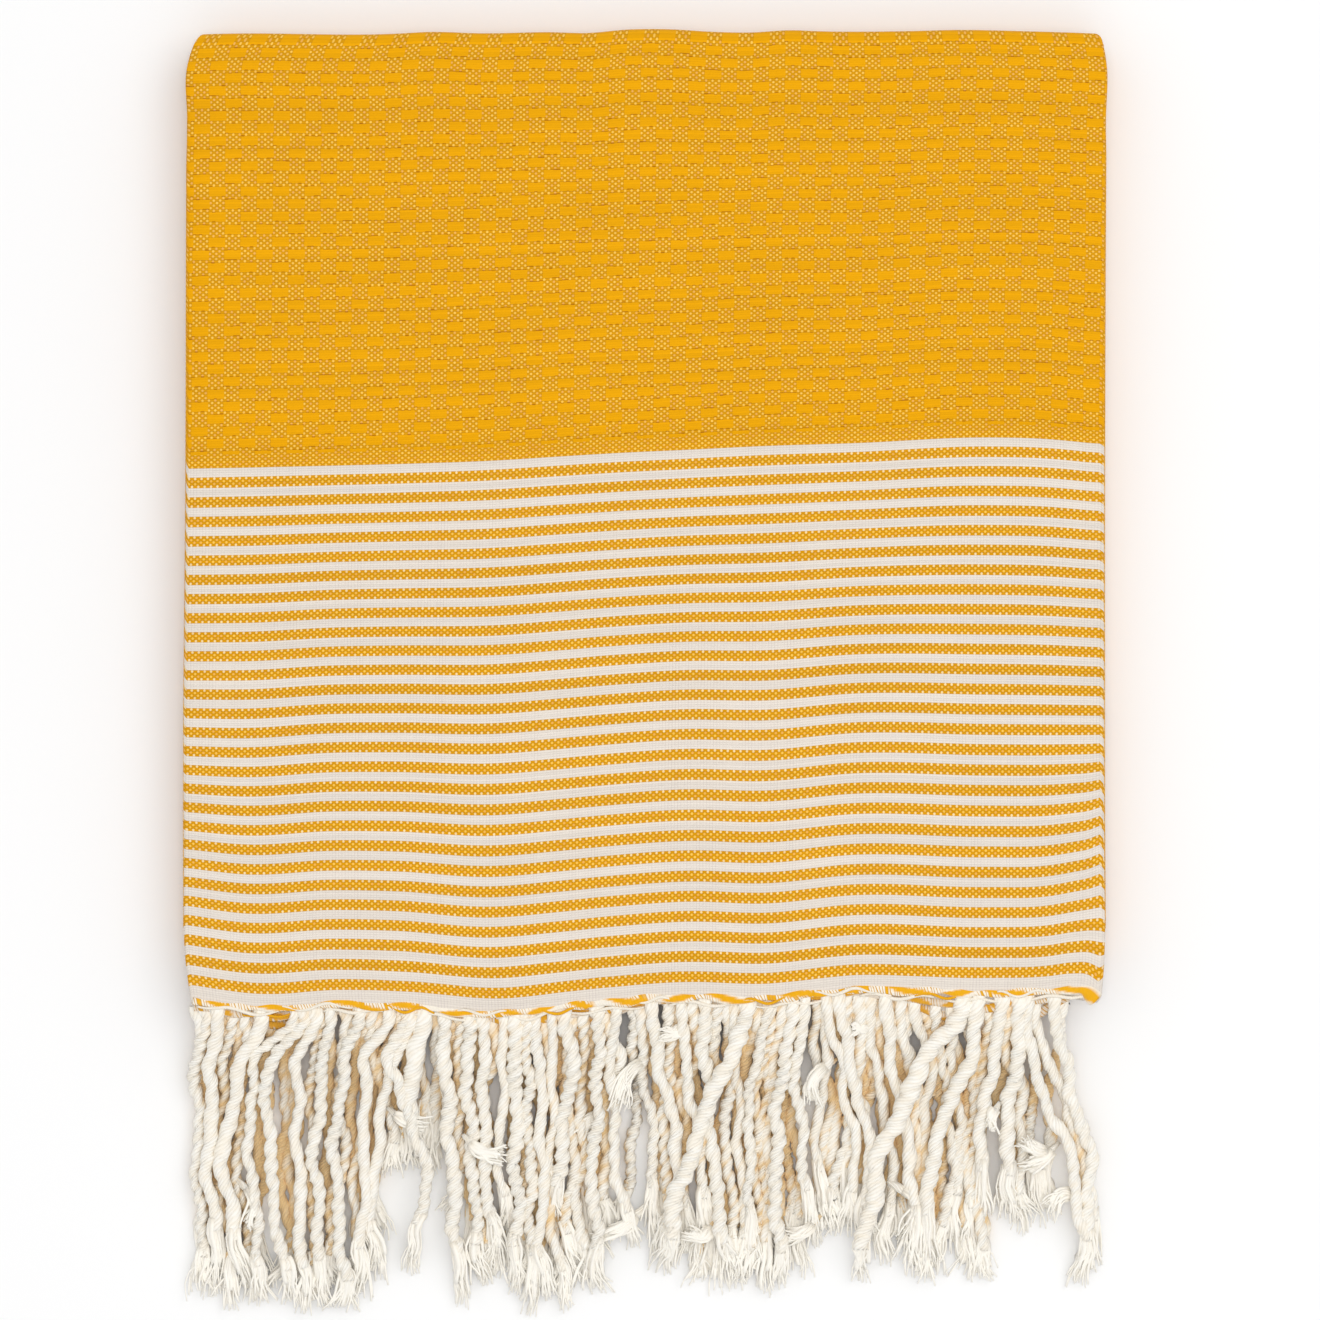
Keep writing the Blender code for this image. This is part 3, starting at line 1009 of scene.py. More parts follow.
def cotton_group() -> Tree:
    """Spun cotton: fine fibres along a yarn, with a soft uneven tone.

    Returns:
        The group, with a place across the fibres and one along them as inputs.
    """
    inputs = {"Across": 0.0, "Along": 0.0, "Fineness": 1.0}
    graph, given, leave = open_group("Spun cotton", inputs, ("Fibres", "Tone"))
    drawn_out = 0.18      # how much slower the fibres change along the yarn
    tone_scale = 0.12
    across = graph.product(given["Across"], given["Fineness"])
    along = graph.product(given["Along"], given["Fineness"])
    drawn = graph.vector(across, graph.product(along, drawn_out))
    fibres = graph.noise(drawn, 1.0, 3.0, 0.6)
    tone = graph.noise(graph.vector(across, along), tone_scale)
    graph.feed(leave.inputs["Fibres"], fibres)
    graph.feed(leave.inputs["Tone"], tone)
    return graph.tree


class Finish:
    """Common start of every finish: one material with its graph and its shader."""

    name = ""
    roughness = 0.85
    gloss = 0.2
    sheen = 0.0
    relief = 0.0003      # how deep a height of 1 is, in metres

    def make(self) -> Material:
        """Build the material.

        Returns:
            The material.
        """
        material = bpy.data.materials.new(self.name)
        material.use_nodes = True
        shader = material.node_tree.nodes["Principled BSDF"]
        shader.inputs["Roughness"].default_value = self.roughness
        shader.inputs["Specular IOR Level"].default_value = self.gloss
        shader.inputs["Sheen Weight"].default_value = self.sheen
        shader.inputs["Sheen Roughness"].default_value = 0.5
        graph = Graph(material.node_tree)
        colour, height = self.paint(graph)
        graph.feed(shader.inputs["Base Color"], colour)
        if height is not None:
            feeds = {"Strength": 1.0, "Distance": self.relief, "Height": height}
            graph.feed(shader.inputs["Normal"], graph.add("ShaderNodeBump", feeds, "Normal"))
        return material

    def paint(self, graph: Graph) -> tuple[Feed, Feed | None]:
        """Work out the colour and the relief, which each finish does in its own way."""
        raise NotImplementedError


@dataclass(frozen=True)
class Weave:
    """Sizes of the cloth's pattern, in millimetres."""

    warp_pitch: float = 1.154
    stripe_period: float = 7.13
    stripe_rows: int = 8            # weft threads in a white and a yellow stripe together
    white_rows: int = 4
    white_length: float = 3.25      # a white stripe, whose threads lie closer
    first_stripe: float = 2.82      # the first white stripe starts this far from the hem
    stripes_end: float = 198.7
    check_start: float = 203.4
    check_phase: float = 214.4      # a row of floats starts here
    check_period: float = 8.8
    check_rows: int = 10            # weft threads in one period of the check
    float_rows: int = 4
    check_warps: int = 5            # warp threads in one column of the check
    column_phase: float = -8.33     # a column starts at this x on the face
    float_half: float = 0.555       # half a float's length, in columns
    lean: float = 0.007             # how far the columns lean for each millimetre along
    lean_middle: float = 275.0
    waver: float = 0.9              # how far the warp wavers altogether

    @property
    def column(self) -> float:
        """Width of one column of the check."""
        return self.warp_pitch * self.check_warps

    @property
    def white_weft(self) -> float:
        """Distance between weft threads in a white stripe."""
        return self.white_length / self.white_rows

    @property
    def yellow_weft(self) -> float:
        """Distance between weft threads in a yellow stripe."""
        return (self.stripe_period - self.white_length) / (self.stripe_rows - self.white_rows)

    @property
    def check_weft(self) -> float:
        """Distance between weft threads in the check."""
        return self.check_period / self.check_rows


@dataclass(frozen=True)
class WovenCotton(Finish):
    """Flat weave with a honeycomb check and stripes of white weft at both ends."""

    weave: Weave
    cloth_length: float
    weave_group: Tree
    cotton: Tree
    name: str = "woven cotton"
    roughness: float = 0.85
    gloss: float = 0.08
    sheen: float = 0.04
    relief: float = 0.00022
    float_yellow: tuple = (0.82, 0.375, 0.001)
    plain_yellow: tuple = (0.70, 0.315, 0.002)
    # painted shade in the gaps between weft threads
    gap_shade_yellow: tuple = (0.53, 0.235, 0.003)
    dot_yellow: tuple = (0.95, 0.58, 0.11)
    dot_pink: tuple = (0.90, 0.48, 0.13)
    spot_brown: tuple = (0.40, 0.12, 0.003)
    white: tuple = (0.785, 0.715, 0.635)
    # painted shade in the grooves of the white stripes
    white_groove_shade: tuple = (0.645, 0.57, 0.53)
    tooth_white: tuple = (0.93, 0.74, 0.42)
    fineness: float = 2.6
    waver_scale: float = 0.02
    broad_scale: float = 0.03
    row_draw: float = 3.0                  # keep the random values of rows and warps apart
    warp_draw: float = 7.0
    gap_shade: tuple = (0.6, 0.12)         # of the painted shade in the gaps between weft threads, in the plain weave and in the floats
    pink_from: tuple = (0.45, 0.85)        # of the random values of single threads
    dot_share: tuple = (0.95, 0.7)
    brown_from: tuple = (0.72, 0.8)
    brown_share: float = 0.7
    float_end: float = 0.02                # of a column, over which a float's end fades
    float_start: tuple = (-0.05, 0.15)     # in rows, as the next three
    float_stop: tuple = (0.1, -0.15)
    edge_off: float = 0.05
    edge_rows: tuple = (0.4, 0.2)
    groove: tuple = (0.3, 0.5)             # of the painted shade in a white stripe's grooves, from a warp thread's middle, in pitches
    groove_share: tuple = (0.2, 0.9)
    row_tone: tuple = (0.95, 1.04)
    fibre_tone: tuple = (0.93, 1.07)
    broad_tone: tuple = (0.965, 1.035)
    thread_relief: tuple = (0.55, 0.25)    # in the plain weave and in the floats
    fibre_relief: float = 0.35
    float_relief: float = 0.6

    def paint(self, graph: Graph) -> tuple[Feed, Feed | None]:
        """Work out the colour and the relief.

        Args:
            graph: The material's graph.

        Returns:
            Both of them.
        """
        weave = self.weave
        u, v = graph.place()
        x = graph.product(u, PER_METRE)
        from_hem = graph.product(v, PER_METRE)
        from_end = graph.less(self.cloth_length, from_hem)
        y = graph.math("MINIMUM", from_hem, from_end)
        lean = graph.product(graph.less(from_hem, weave.lean_middle), -weave.lean)
        sway = graph.less(graph.noise(graph.vector(x, from_hem), self.waver_scale), 0.5)
        straight = graph.total(x, lean, graph.product(sway, weave.waver))
        across = graph.ratio(straight, weave.warp_pitch)

        is_check = graph.math("GREATER_THAN", y, weave.stripes_end)
        row, stripe_along = self.stripe_row(graph, y)
        check_along = graph.ratio(graph.less(y, weave.check_phase), weave.check_weft)
        along = graph.blend(is_check, stripe_along, check_along)
        threads = graph.use(self.weave_group, Across=across, Along=along)
        yarn = graph.use(self.cotton, Across=along, Along=across, Fineness=self.fineness)

        in_white = graph.math("LESS_THAN", row, float(weave.white_rows))
        in_white = graph.math("MAXIMUM", in_white, graph.math("LESS_THAN", y, weave.first_stripe))
        is_white = graph.product(in_white, graph.flip(is_check))

        floats, float_edge = self.float_mask(graph, across, check_along, y)
        dots = graph.product(threads["Dots"], graph.flip(floats))

        weft_tone = graph.chance(graph.floor(along), self.row_draw)
        warp_tone = graph.chance(graph.floor(across), self.warp_draw)
        spot = graph.chance(graph.floor(across), graph.floor(along))

        yellow = graph.tint(floats, self.plain_yellow, self.float_yellow)
        # Painted shade: the gaps between weft threads darken toward deep yellow.
        shadow = graph.product(threads["Gaps"], graph.blend(floats, *self.gap_shade))
        yellow = graph.tint(shadow, yellow, self.gap_shade_yellow)
        pinkness = graph.step(spot, *self.pink_from)
        dot_colour = graph.tint(pinkness, self.dot_yellow, self.dot_pink)
        yellow_middle = (weave.white_rows + weave.stripe_rows) / 2
        from_middle = graph.size(graph.less(row, yellow_middle))
        edge_row = graph.math("GREATER_THAN", from_middle, yellow_middle - weave.white_rows - 1)
        tooth = graph.product(edge_row, graph.flip(is_check))
        dot_colour = graph.tint(tooth, dot_colour, self.tooth_white)
        dot_strength = graph.product(dots, graph.blend(spot, *self.dot_share))
        yellow = graph.tint(dot_strength, yellow, dot_colour)
        brownness = graph.step(spot, *self.brown_from)
        near_float = graph.product(float_edge, brownness, self.brown_share)
        yellow = graph.tint(near_float, yellow, self.spot_brown)

        # Painted shade: grey lines in the grooves between the warp threads of the white stripes.
        line = graph.step(graph.size(graph.off_middle(across)), *self.groove)
        line = graph.product(line, graph.blend(warp_tone, *self.groove_share))
        white = graph.tint(line, self.white, self.white_groove_shade)
        colour = graph.tint(is_white, yellow, white)
        tone = graph.blend(weft_tone, *self.row_tone)
        tone = graph.product(tone, graph.blend(yarn["Fibres"], *self.fibre_tone))
        broad = graph.noise(graph.vector(x, y), self.broad_scale, 3.0)
        tone = graph.product(tone, graph.blend(broad, *self.broad_tone))
        height = graph.total(
            graph.product(threads["Relief"], graph.blend(floats, *self.thread_relief)),
            graph.product(yarn["Fibres"], self.fibre_relief),
            graph.product(floats, self.float_relief),
        )
        return graph.toned(colour, tone), height

    def stripe_row(self, graph: Graph, y: Feed) -> tuple[Socket, Socket]:
        """Count weft threads in the stripes, where white ones lie closer than yellow ones.

        Args:
            graph: The material's graph.
            y: Distance from the nearer hem.

        Returns:
            The count within one period of the stripes, and the count from the first stripe.
        """
        weave = self.weave
        from_first = graph.less(y, weave.first_stripe)
        periods = graph.ratio(from_first, weave.stripe_period)
        within = graph.product(graph.math("FRACT", periods), weave.stripe_period)
        white = graph.ratio(within, weave.white_weft)
        past = graph.less(within, weave.white_length)
        yellow = graph.ratio(past, weave.yellow_weft)
        yellow = graph.total(yellow, float(weave.white_rows))
        row = graph.blend(graph.math("GREATER_THAN", past, 0.0), white, yellow)
        before = graph.product(graph.floor(periods), float(weave.stripe_rows))
        return row, graph.total(before, row)

    def float_mask(
        self, graph: Graph, across: Feed, along: Feed, y: Feed
    ) -> tuple[Socket, Socket]:
        """Where the weft floats over a whole column of warp threads.

        Args:
            graph: The material's graph.
            across: Count of warp threads.
            along: Count of weft threads in the check.
            y: Distance from the nearer hem.

        Returns:
            Two masks: 1 on a float, and 1 along a float's first and last edge.
        """
        weave = self.weave
        columns = graph.ratio(across, float(weave.check_warps))
        zone = graph.math("GREATER_THAN", y, weave.check_start)
        masks = []
        edges = []
        for parity in (0, 1):
            shifted = graph.total(columns, float(parity))
            pair = graph.product(graph.math("FRACT", graph.product(shifted, 0.5)), 2.0)
            side = graph.size(graph.less(pair, 0.5))
            within = graph.step(
                side, weave.float_half + self.float_end, weave.float_half - self.float_end
            )
            moved = graph.total(along, parity * weave.check_rows / 2)
            row = graph.math("FLOORED_MODULO", moved, float(weave.check_rows))
            start = graph.step(row, *self.float_start)
            stop = graph.step(row, *(weave.float_rows + off for off in self.float_stop))
            from_start = graph.size(graph.less(row, self.edge_off))
            from_stop = graph.size(graph.less(row, weave.float_rows + self.edge_off))
            nearest = graph.math("MINIMUM", from_start, from_stop)
            masks.append(graph.product(start, stop, within, zone))
            edges.append(graph.product(graph.step(nearest, *self.edge_rows), within, zone))
        return graph.math("MAXIMUM", *masks), graph.math("MAXIMUM", *edges)


@dataclass(frozen=True)
class HemYarn(Finish):
    """The rolled hem: yellow weft with white threads crossing it slantwise."""

    cotton: Tree
    name: str = "hem yarn"
    roughness: float = 0.8
    sheen: float = 0.1
    thread_pitch: float = 1.05
    yellow: tuple = (0.86, 0.42, 0.004)
    shade: tuple = (0.62, 0.33, 0.06)
    white: tuple = (0.93, 0.86, 0.74)
    # painted shade on the hems that lie under the face's
    shade_brown: tuple = (0.38, 0.20, 0.08)
    waver: float = 2.4                     # how far the threads waver, in pitches
    waver_scale: float = 0.3
    turn_threads: float = 3.0              # threads met once round the roll
    thread_draw: float = 5.0
    white_width: tuple = (0.42, 0.3)       # from a thread's middle, in pitches
    white_from: tuple = (0.1, 0.2)         # of the random values of single threads
    shade_from: tuple = (0.25, 0.5)
    solid_share: float = 0.9
    around: float = 9.0                    # yarns round the roll
    fineness: float = 1.7
    fibre_tone: tuple = (0.85, 1.12)
    thread_relief: float = -0.8
    fibre_relief: float = 0.5

    def paint(self, graph: Graph) -> tuple[Feed, Feed | None]:
        """Work out the colour and the relief.

        Args:
            graph: The material's graph.

        Returns:
            Both of them.
        """
        u, v = graph.place()
        along = graph.product(u, PER_METRE)
        solid = graph.surface_value("solid")
        pale = graph.surface_value("pale")
        buried = graph.surface_value("buried")
        wavering = graph.noise(graph.vector(along, v), self.waver_scale)
        wavering = graph.product(wavering, self.waver)
        turned = graph.product(v, self.turn_threads)
        slant = graph.total(graph.ratio(along, self.thread_pitch), turned, wavering)
        thread = graph.size(graph.off_middle(slant))
        chosen = graph.chance(graph.floor(slant), self.thread_draw)
        shows = graph.product(
            graph.step(thread, *self.white_width),
            graph.step(chosen, *self.white_from),
            graph.flip(solid),
        )
        shows = graph.math("MAXIMUM", shows, pale)
        around = graph.product(v, self.around)
        yarn = graph.use(self.cotton, Across=around, Along=along, Fineness=self.fineness)
        yellow = graph.tint(graph.step(thread, *self.shade_from), self.yellow, self.shade)
        yellow = graph.tint(graph.product(solid, self.solid_share), yellow, self.yellow)
        colour = graph.tint(shows, yellow, self.white)
        # Painted shade: the lower plies' hems, which lie in shade, turn toward brown.
        colour = graph.tint(buried, colour, self.shade_brown)
        tone = graph.blend(yarn["Fibres"], *self.fibre_tone)
        height = graph.total(
            graph.product(thread, self.thread_relief),
            graph.product(yarn["Fibres"], self.fibre_relief),
        )
        return graph.toned(colour, tone), height


@dataclass(frozen=True)
class TwistedCotton(Finish):
    """Soft undyed cotton, with painted shade: warm tan where a cord lies under others, beige
    between its yarns.
    """

    cotton: Tree
    name: str = "twisted cotton"
    roughness: float = 0.9
    gloss: float = 0.1
    sheen: float = 0.35
    cream: tuple = (0.965, 0.90, 0.785)
    pale: tuple = (0.98, 0.95, 0.88)
    # painted shade: the warm tan of cords that lie under others
    shade_tan: tuple = (0.93, 0.655, 0.32)
    groove_shade_beige: tuple = (0.80, 0.70, 0.50)      # painted shade in the grooves between the yarns of a cord
    lines: float = 10.0                    # yarns round a cord
    fineness: float = 2.2
    pale_from: tuple = (0.35, 0.65)        # of the cotton's own tone
    loose_pale: float = 0.8
    shade_tan_from: tuple = (0.14, 0.85)         # of how deep a cord lies under others, for its painted shade
    shade_tan_share: float = 0.95
    groove_shade_from: tuple = (0.36, 0.5)         # of the painted groove shade, from a yarn's middle, in yarns
    groove_shade_share: float = 0.3
    fibre_tone: tuple = (0.92, 1.06)
    yarn_fall: tuple = (0.5, 0.1)
    yarn_relief: float = 0.6
    loose_relief: float = 0.08             # of the relief that a hard twist has

    def paint(self, graph: Graph) -> tuple[Feed, Feed | None]:
        """Work out the colour and the relief.

        Args:
            graph: The material's graph.

        Returns:
            Both of them.
        """
        u, v = graph.place()
        along = graph.product(v, PER_METRE)
        around = graph.product(u, self.lines)
        buried = graph.surface_value("buried")
        loose = graph.surface_value("loose")
        yarn = graph.use(self.cotton, Across=around, Along=along, Fineness=self.fineness)
        between = graph.size(graph.off_middle(around))
        toning = graph.step(yarn["Tone"], *self.pale_from)
        paleness = graph.math("MAXIMUM", toning, graph.product(loose, self.loose_pale))
        body = graph.tint(paleness, self.cream, self.pale)
        # Painted shade: tan where a cord lies deep under others.
        deep = graph.product(graph.step(buried, *self.shade_tan_from), self.shade_tan_share)
        colour = graph.tint(deep, body, self.shade_tan)
        tight = graph.flip(loose)
        # Painted shade: beige in the grooves between the yarns of a tight cord.
        line = graph.step(between, *self.groove_shade_from)
        line = graph.product(line, self.groove_shade_share, tight)
        colour = graph.tint(line, colour, self.groove_shade_beige)
        tone = graph.blend(yarn["Fibres"], *self.fibre_tone)
        height = graph.total(
            graph.product(graph.step(between, *self.yarn_fall), self.yarn_relief),
            graph.product(yarn["Fibres"], self.yarn_relief),
        )
        height = graph.product(height, graph.blend(tight, self.loose_relief, 1.0))
        return graph.toned(colour, tone), height


@dataclass(frozen=True)
class PaleGround(Finish):
    """A plain pale floor."""

    name: str = "pale ground"
    roughness: float = 0.9
    pale: tuple = (0.93, 0.93, 0.93)
    dim: float = 0.985       # how light its darker patches are beside the lighter ones
    patches: float = 3.0     # in a metre

    def paint(self, graph: Graph) -> tuple[Feed, Feed | None]:
        """Work out the colour and the relief.

        Args:
            graph: The material's graph.

        Returns:
            Both of them.
        """
        held = graph.node("ShaderNodeTexCoord")
        tone = graph.noise(held.outputs["Object"], self.patches)
        dim = tuple(self.dim * channel for channel in self.pale)
        return graph.tint(tone, self.pale, dim), None


# ---- the folded cloth ----


@dataclass
class Folding:
    """How the towel is folded: three plies side over side, then six passes to and fro."""

    width: float = 333.0
    ply: float = 1.0
    ply_gap: float = 0.4
    pass_gap: float = 0.45
    small_fold: float = 0.7
    large_fold: float = 1.4
    middle_stop: float = 8.0
    under_stop: float = 6.0
    droop_start: float = 22.0
    droop: float = 0.008
    hem_blend: float = 70.0
    rear_hem: float = 105.0
    middle_reach: float = 2.0
    under_reach: float = 4.0
    hidden_wave: float = 0.9
    swell: float = 0.012
    swell_start: float = 40.0
    swell_length: float = 190.0
    swell_width: float = 300.0
    swell_middle: float = -30.0
    swell_crossways: float = 0.3
    far_blend: tuple = (270.0, 345.0)

    @property
    def bundle(self) -> float:
        """Thickness of the three plies together."""
        return 3 * self.ply + 2 * self.ply_gap

    @property
    def turn_radius(self) -> float:
        """Radius of a fold between passes, at the bundle's middle."""
        return (self.bundle + self.pass_gap) / 2

    @property
    def arc(self) -> float:
        """Length of such a fold."""
        return math.pi * self.turn_radius

    @property
    def top_middle(self) -> float:
        """Height of the top pass's middle."""
        return self.bundle / 2 + len(FOLDS) * 2 * self.turn_radius

    def ply_rise(self, ply: Ply) -> float:
        """Height of a ply's middle in the bundle."""
        return self.ply / 2 + ply.value * (self.ply + self.ply_gap)

    def length(self) -> float:
        """Measure the path of the cloth.

        Returns:
            Its length from the front hem's mean line to the rear hem.
        """
        total = 0.0
        y_from = 0.0
        for fold in FOLDS:
            total += abs(fold.y - y_from) + self.arc
            y_from = fold.y
        return total + y_from - self.rear_hem

    def path(self, run: Array) -> tuple[Array, ...]:
        """Follow the bundle's middle line.

        Args:
            run: Distances from the front hem.

        Returns:
            y, z, heading in the side view, and shift to the right.
        """
        run = np.asarray(run, float)
        y, z, heading, shift = (np.zeros_like(run) for _ in range(4))
        start = y_from = shift_from = 0.0
        level = self.top_middle
        here = np.isfinite(run)
        for number, fold in enumerate((*FOLDS, None)):
            sign = -1.0 if number % 2 else 1.0
            y[here] = y_from + sign * (run[here] - start)
            z[here] = level
            heading[here] = -math.pi if number % 2 else 0.0
            shift[here] = shift_from
            if fold is None:
                break
            start += abs(fold.y - y_from)
            here = run > start
            left = run[here] - start
            angle = math.pi * left / self.arc
            y[here] = fold.y + sign * self.turn_radius * np.sin(angle)
            z[here] = level + self.turn_radius * (np.cos(angle) - 1.0)
            heading[here] = angle - math.pi if number % 2 else -angle
            shift[here] = shift_from + (fold.shift - shift_from) * left / self.arc
            start += self.arc
            here = run > start
            level -= 2 * self.turn_radius
            y_from, shift_from = fold
        hanging = run < self.droop_start
        sag = np.where(hanging, self.droop_start - y, 0.0)
        z = z - self.droop * sag**2
        heading = np.where(hanging, np.arctan(2 * self.droop * sag), heading)
        return y, z, heading, shift

    def settle(self, x: Array, y: Array, z: Array) -> Array:
        """Fit points to the towel's side edges, to its far edge and to its slight swells.

        Args:
            x: Places across.
            y: Places along.
            z: Heights.

        Returns:
            The points, with a last axis of three.
        """
        rows = column(SIDE_EDGES, "y")
        left = smooth_curve(rows, column(SIDE_EDGES, "left"), y)
        right = smooth_curve(rows, column(SIDE_EDGES, "right"), y)
        x = (left + right) / 2 + x * (right - left) / self.width
        lengthways = np.sin(math.pi * (y - self.swell_start) / self.swell_length)
        crossways = np.cos(2 * math.pi * (x - self.swell_middle) / self.swell_width)
        share = 1 - self.swell_crossways + self.swell_crossways * crossways
        z = z * (1 + self.swell * lengthways * share)
        out = smooth_curve(column(FAR_EDGE, "x"), column(FAR_EDGE, "out"), x)
        y = y + out * smooth_step(*self.far_blend, y)
        return np.stack([x, y, z], axis=-1)

    def point(self, x: Array, rise: Array, run: Array) -> Array:
        """Points of the bundle, from its cross-section and its run along the path.

        Args:
            x: Places across the bundle.
            rise: Heights above the bundle's underside.
            run: Distances along the path.

        Returns:
            The points, with a last axis of three.
        """
        x, rise, run = np.broadcast_arrays(*(np.asarray(a, float) for a in (x, rise, run)))
        y, z, heading, shift = self.path(run)
        out = rise - self.bundle / 2
        y = y - np.sin(heading) * out
        z = z + np.cos(heading) * out
        return self.settle(x + shift, y, z)

    def face_wave(self, x: Array, run: Array) -> Array:
        """How far the face's threads lie off their straight lines, towards the fold.

        Args:
            x: Places across, one for each column of the answer.
            run: Distances from the hem, one for each row of the answer.

        Returns:
            The distances, one row for each run.
        """
        rows = column(WAVES, "x")
        names = ("hem", "near", "middle", "far")
        lines = [smooth_curve(rows, column(WAVES, name), x) for name in names]
        lines.append(np.zeros_like(lines[0]))
        return smooth_curve(np.array(WAVE_RUNS), np.stack(lines), run)

    def hem_reach(self, ply: Ply, x: Array) -> Array:
        """How far a ply's front hem lies beyond the mean line, towards the fringe.

        Args:
            ply: The ply.
            x: Places across.

        Returns:
            The distances.
        """
        wave = -smooth_curve(column(WAVES, "x"), column(WAVES, "hem"), x)
        if ply is Ply.FACE:
            return wave
        base = self.middle_reach if ply is Ply.MIDDLE else self.under_reach
        slip = smooth_curve(column(HEM_SLIPS, "x"), column(HEM_SLIPS, ply.name.lower()), x)
        return base + self.hidden_wave * wave + slip


class Line(NamedTuple):
    """Points along the cloth's cross-section."""

    x: Array
    rise: Array
    place: Array    # unfolded distance, 0 at a column's edge near the face's middle
    ply: Array      # 0 on the lowest ply, 1 on the middle one, 2 on the face


@dataclass
class WovenSheet:
    """The whole cloth as one closed sheet with a real thickness."""

    folding: Folding
    weave: Weave
    finish: WovenCotton
    thirds: int = 3               # face points for each column of the check
    outer_steps: tuple = (8, 8, 0, 10, 8)      # on the five stretches of each skin
    inner_steps: tuple = (8, 4, 14, 5, 8)
    stripe_steps: int = 5         # stations for each stripe period
    turn_steps: int = 6
    far_turn_steps: int = 10
    pass_steps: int = 8
    float_height: float = 0.22
    stripe_height: float = 0.10
    ripple: float = 0.10
    edge_band: float = 9.0
    edge_drop: float = 0.035
    clear: float = 0.4            # least room between stretches, in steps or in millimetres
    float_gap: float = 0.2        # between floats on either side, in columns
    float_rise: tuple = (-0.2, 0.9)        # over these rows
    fold_fade: float = 12.0       # the relief fades out over this, before the far fold
    side_fade: tuple = (1.7, 2.0)          # and from the face to its side folds, in plies
    hump_fade: tuple = (1.5, 2.0)

    def trace(self, side: float, counts: tuple[int, int, int, int, int]) -> Line:
        """Trace one skin of the three plies, from the middle ply's free edge to the lowest's.

        Args:
            side: Distance from the middle line, outward if above 0.
            counts: Steps on the middle ply, left arc, face, right arc and lowest ply. A face
                of 0 steps takes the columns of the check.

        Returns:
            The skin's points.
        """
        folding = self.folding
        half = folding.width / 2
        left = -half + folding.small_fold + folding.ply / 2
        right = half - folding.large_fold - folding.ply / 2
        small_arc = math.pi * folding.small_fold
        large_arc = math.pi * folding.large_fold
        start = left - self.weave.column_phase
        stop = start + right - left
        under, middle, face = (folding.ply_rise(ply) for ply in Ply)
        parts = []

        x = np.linspace(half - folding.middle_stop, left, counts[0] + 1)[:-1]
        parts.append((x, middle - side + 0 * x, start - small_arc - (x - left), 1 + 0 * x))

        share = np.linspace(0, 1, counts[1] + 1)
        angle = 1.5 * math.pi - math.pi * share
        radius = folding.small_fold + side
        parts.append((
            left + radius * np.cos(angle),
            (middle + face) / 2 + radius * np.sin(angle),
            start - small_arc * (1 - share),
            1 + share,
        ))

        x = self.face_columns(left, right)
        if counts[2]:
            x = np.linspace(left, right, counts[2] + 1)[1:-1]
        parts.append((x, face + side + 0 * x, start + x - left, 2 + 0 * x))

        share = np.linspace(0, 1, counts[3] + 1)
        angle = 0.5 * math.pi - math.pi * share
        radius = folding.large_fold + side
        parts.append((
            right + radius * np.cos(angle),
            (under + face) / 2 + radius * np.sin(angle),
            stop + large_arc * share,
            2 - 2 * share,
        ))

        x = np.linspace(right, -half + folding.under_stop, counts[4] + 1)[1:]
        parts.append((x, under - side + 0 * x, stop + large_arc + right - x, 0 * x))
        return Line(*(np.concatenate(values) for values in zip(*parts)))

    def face_columns(self, left: float, right: float) -> Array:
        """Places across the face, a few for each column of the check.

        Args:
            left: Where the face starts.
            right: Where it ends.

        Returns:
            The places.
        """
        pitch = self.weave.column / self.thirds
        left_clear = left + self.clear * pitch - self.weave.column_phase
        right_clear = right - self.clear * pitch - self.weave.column_phase
        steps = np.arange(math.ceil(left_clear / pitch), math.floor(right_clear / pitch) + 1)
        return self.weave.column_phase + pitch * steps

    def stations(self) -> Array:
        """Choose where along the cloth it has a cross-section.

        Returns:
            Distances from the front hem.
        """
        weave = self.weave
        folding = self.folding
        far = FOLDS[0].y
        rows = [0.0, weave.first_stripe / 3, weave.first_stripe * 2 / 3]
        step = weave.stripe_period / self.stripe_steps
        rows += list(np.arange(weave.first_stripe, weave.stripes_end + 0.5 * step, step))
        first = rows[-1]
        start = weave.check_phase
        while start - weave.check_weft > first + self.clear:
            start -= weave.check_weft
        rows += list(np.arange(start, far - self.clear, weave.check_weft))
        start = far
        stops = [*column(FOLDS, "y")[1:], folding.rear_hem]
        for number, (fold, y_next) in enumerate(zip(FOLDS, stops)):
            steps = self.turn_steps if number else self.far_turn_steps
            rows += [start + folding.arc * step / steps for step in range(steps + 1)]
            start += folding.arc
            length = abs(y_next - fold.y)
            rows += [start + length * step / self.pass_steps for step in range(1, self.pass_steps)]
            start += length
        return np.array(rows + [start])

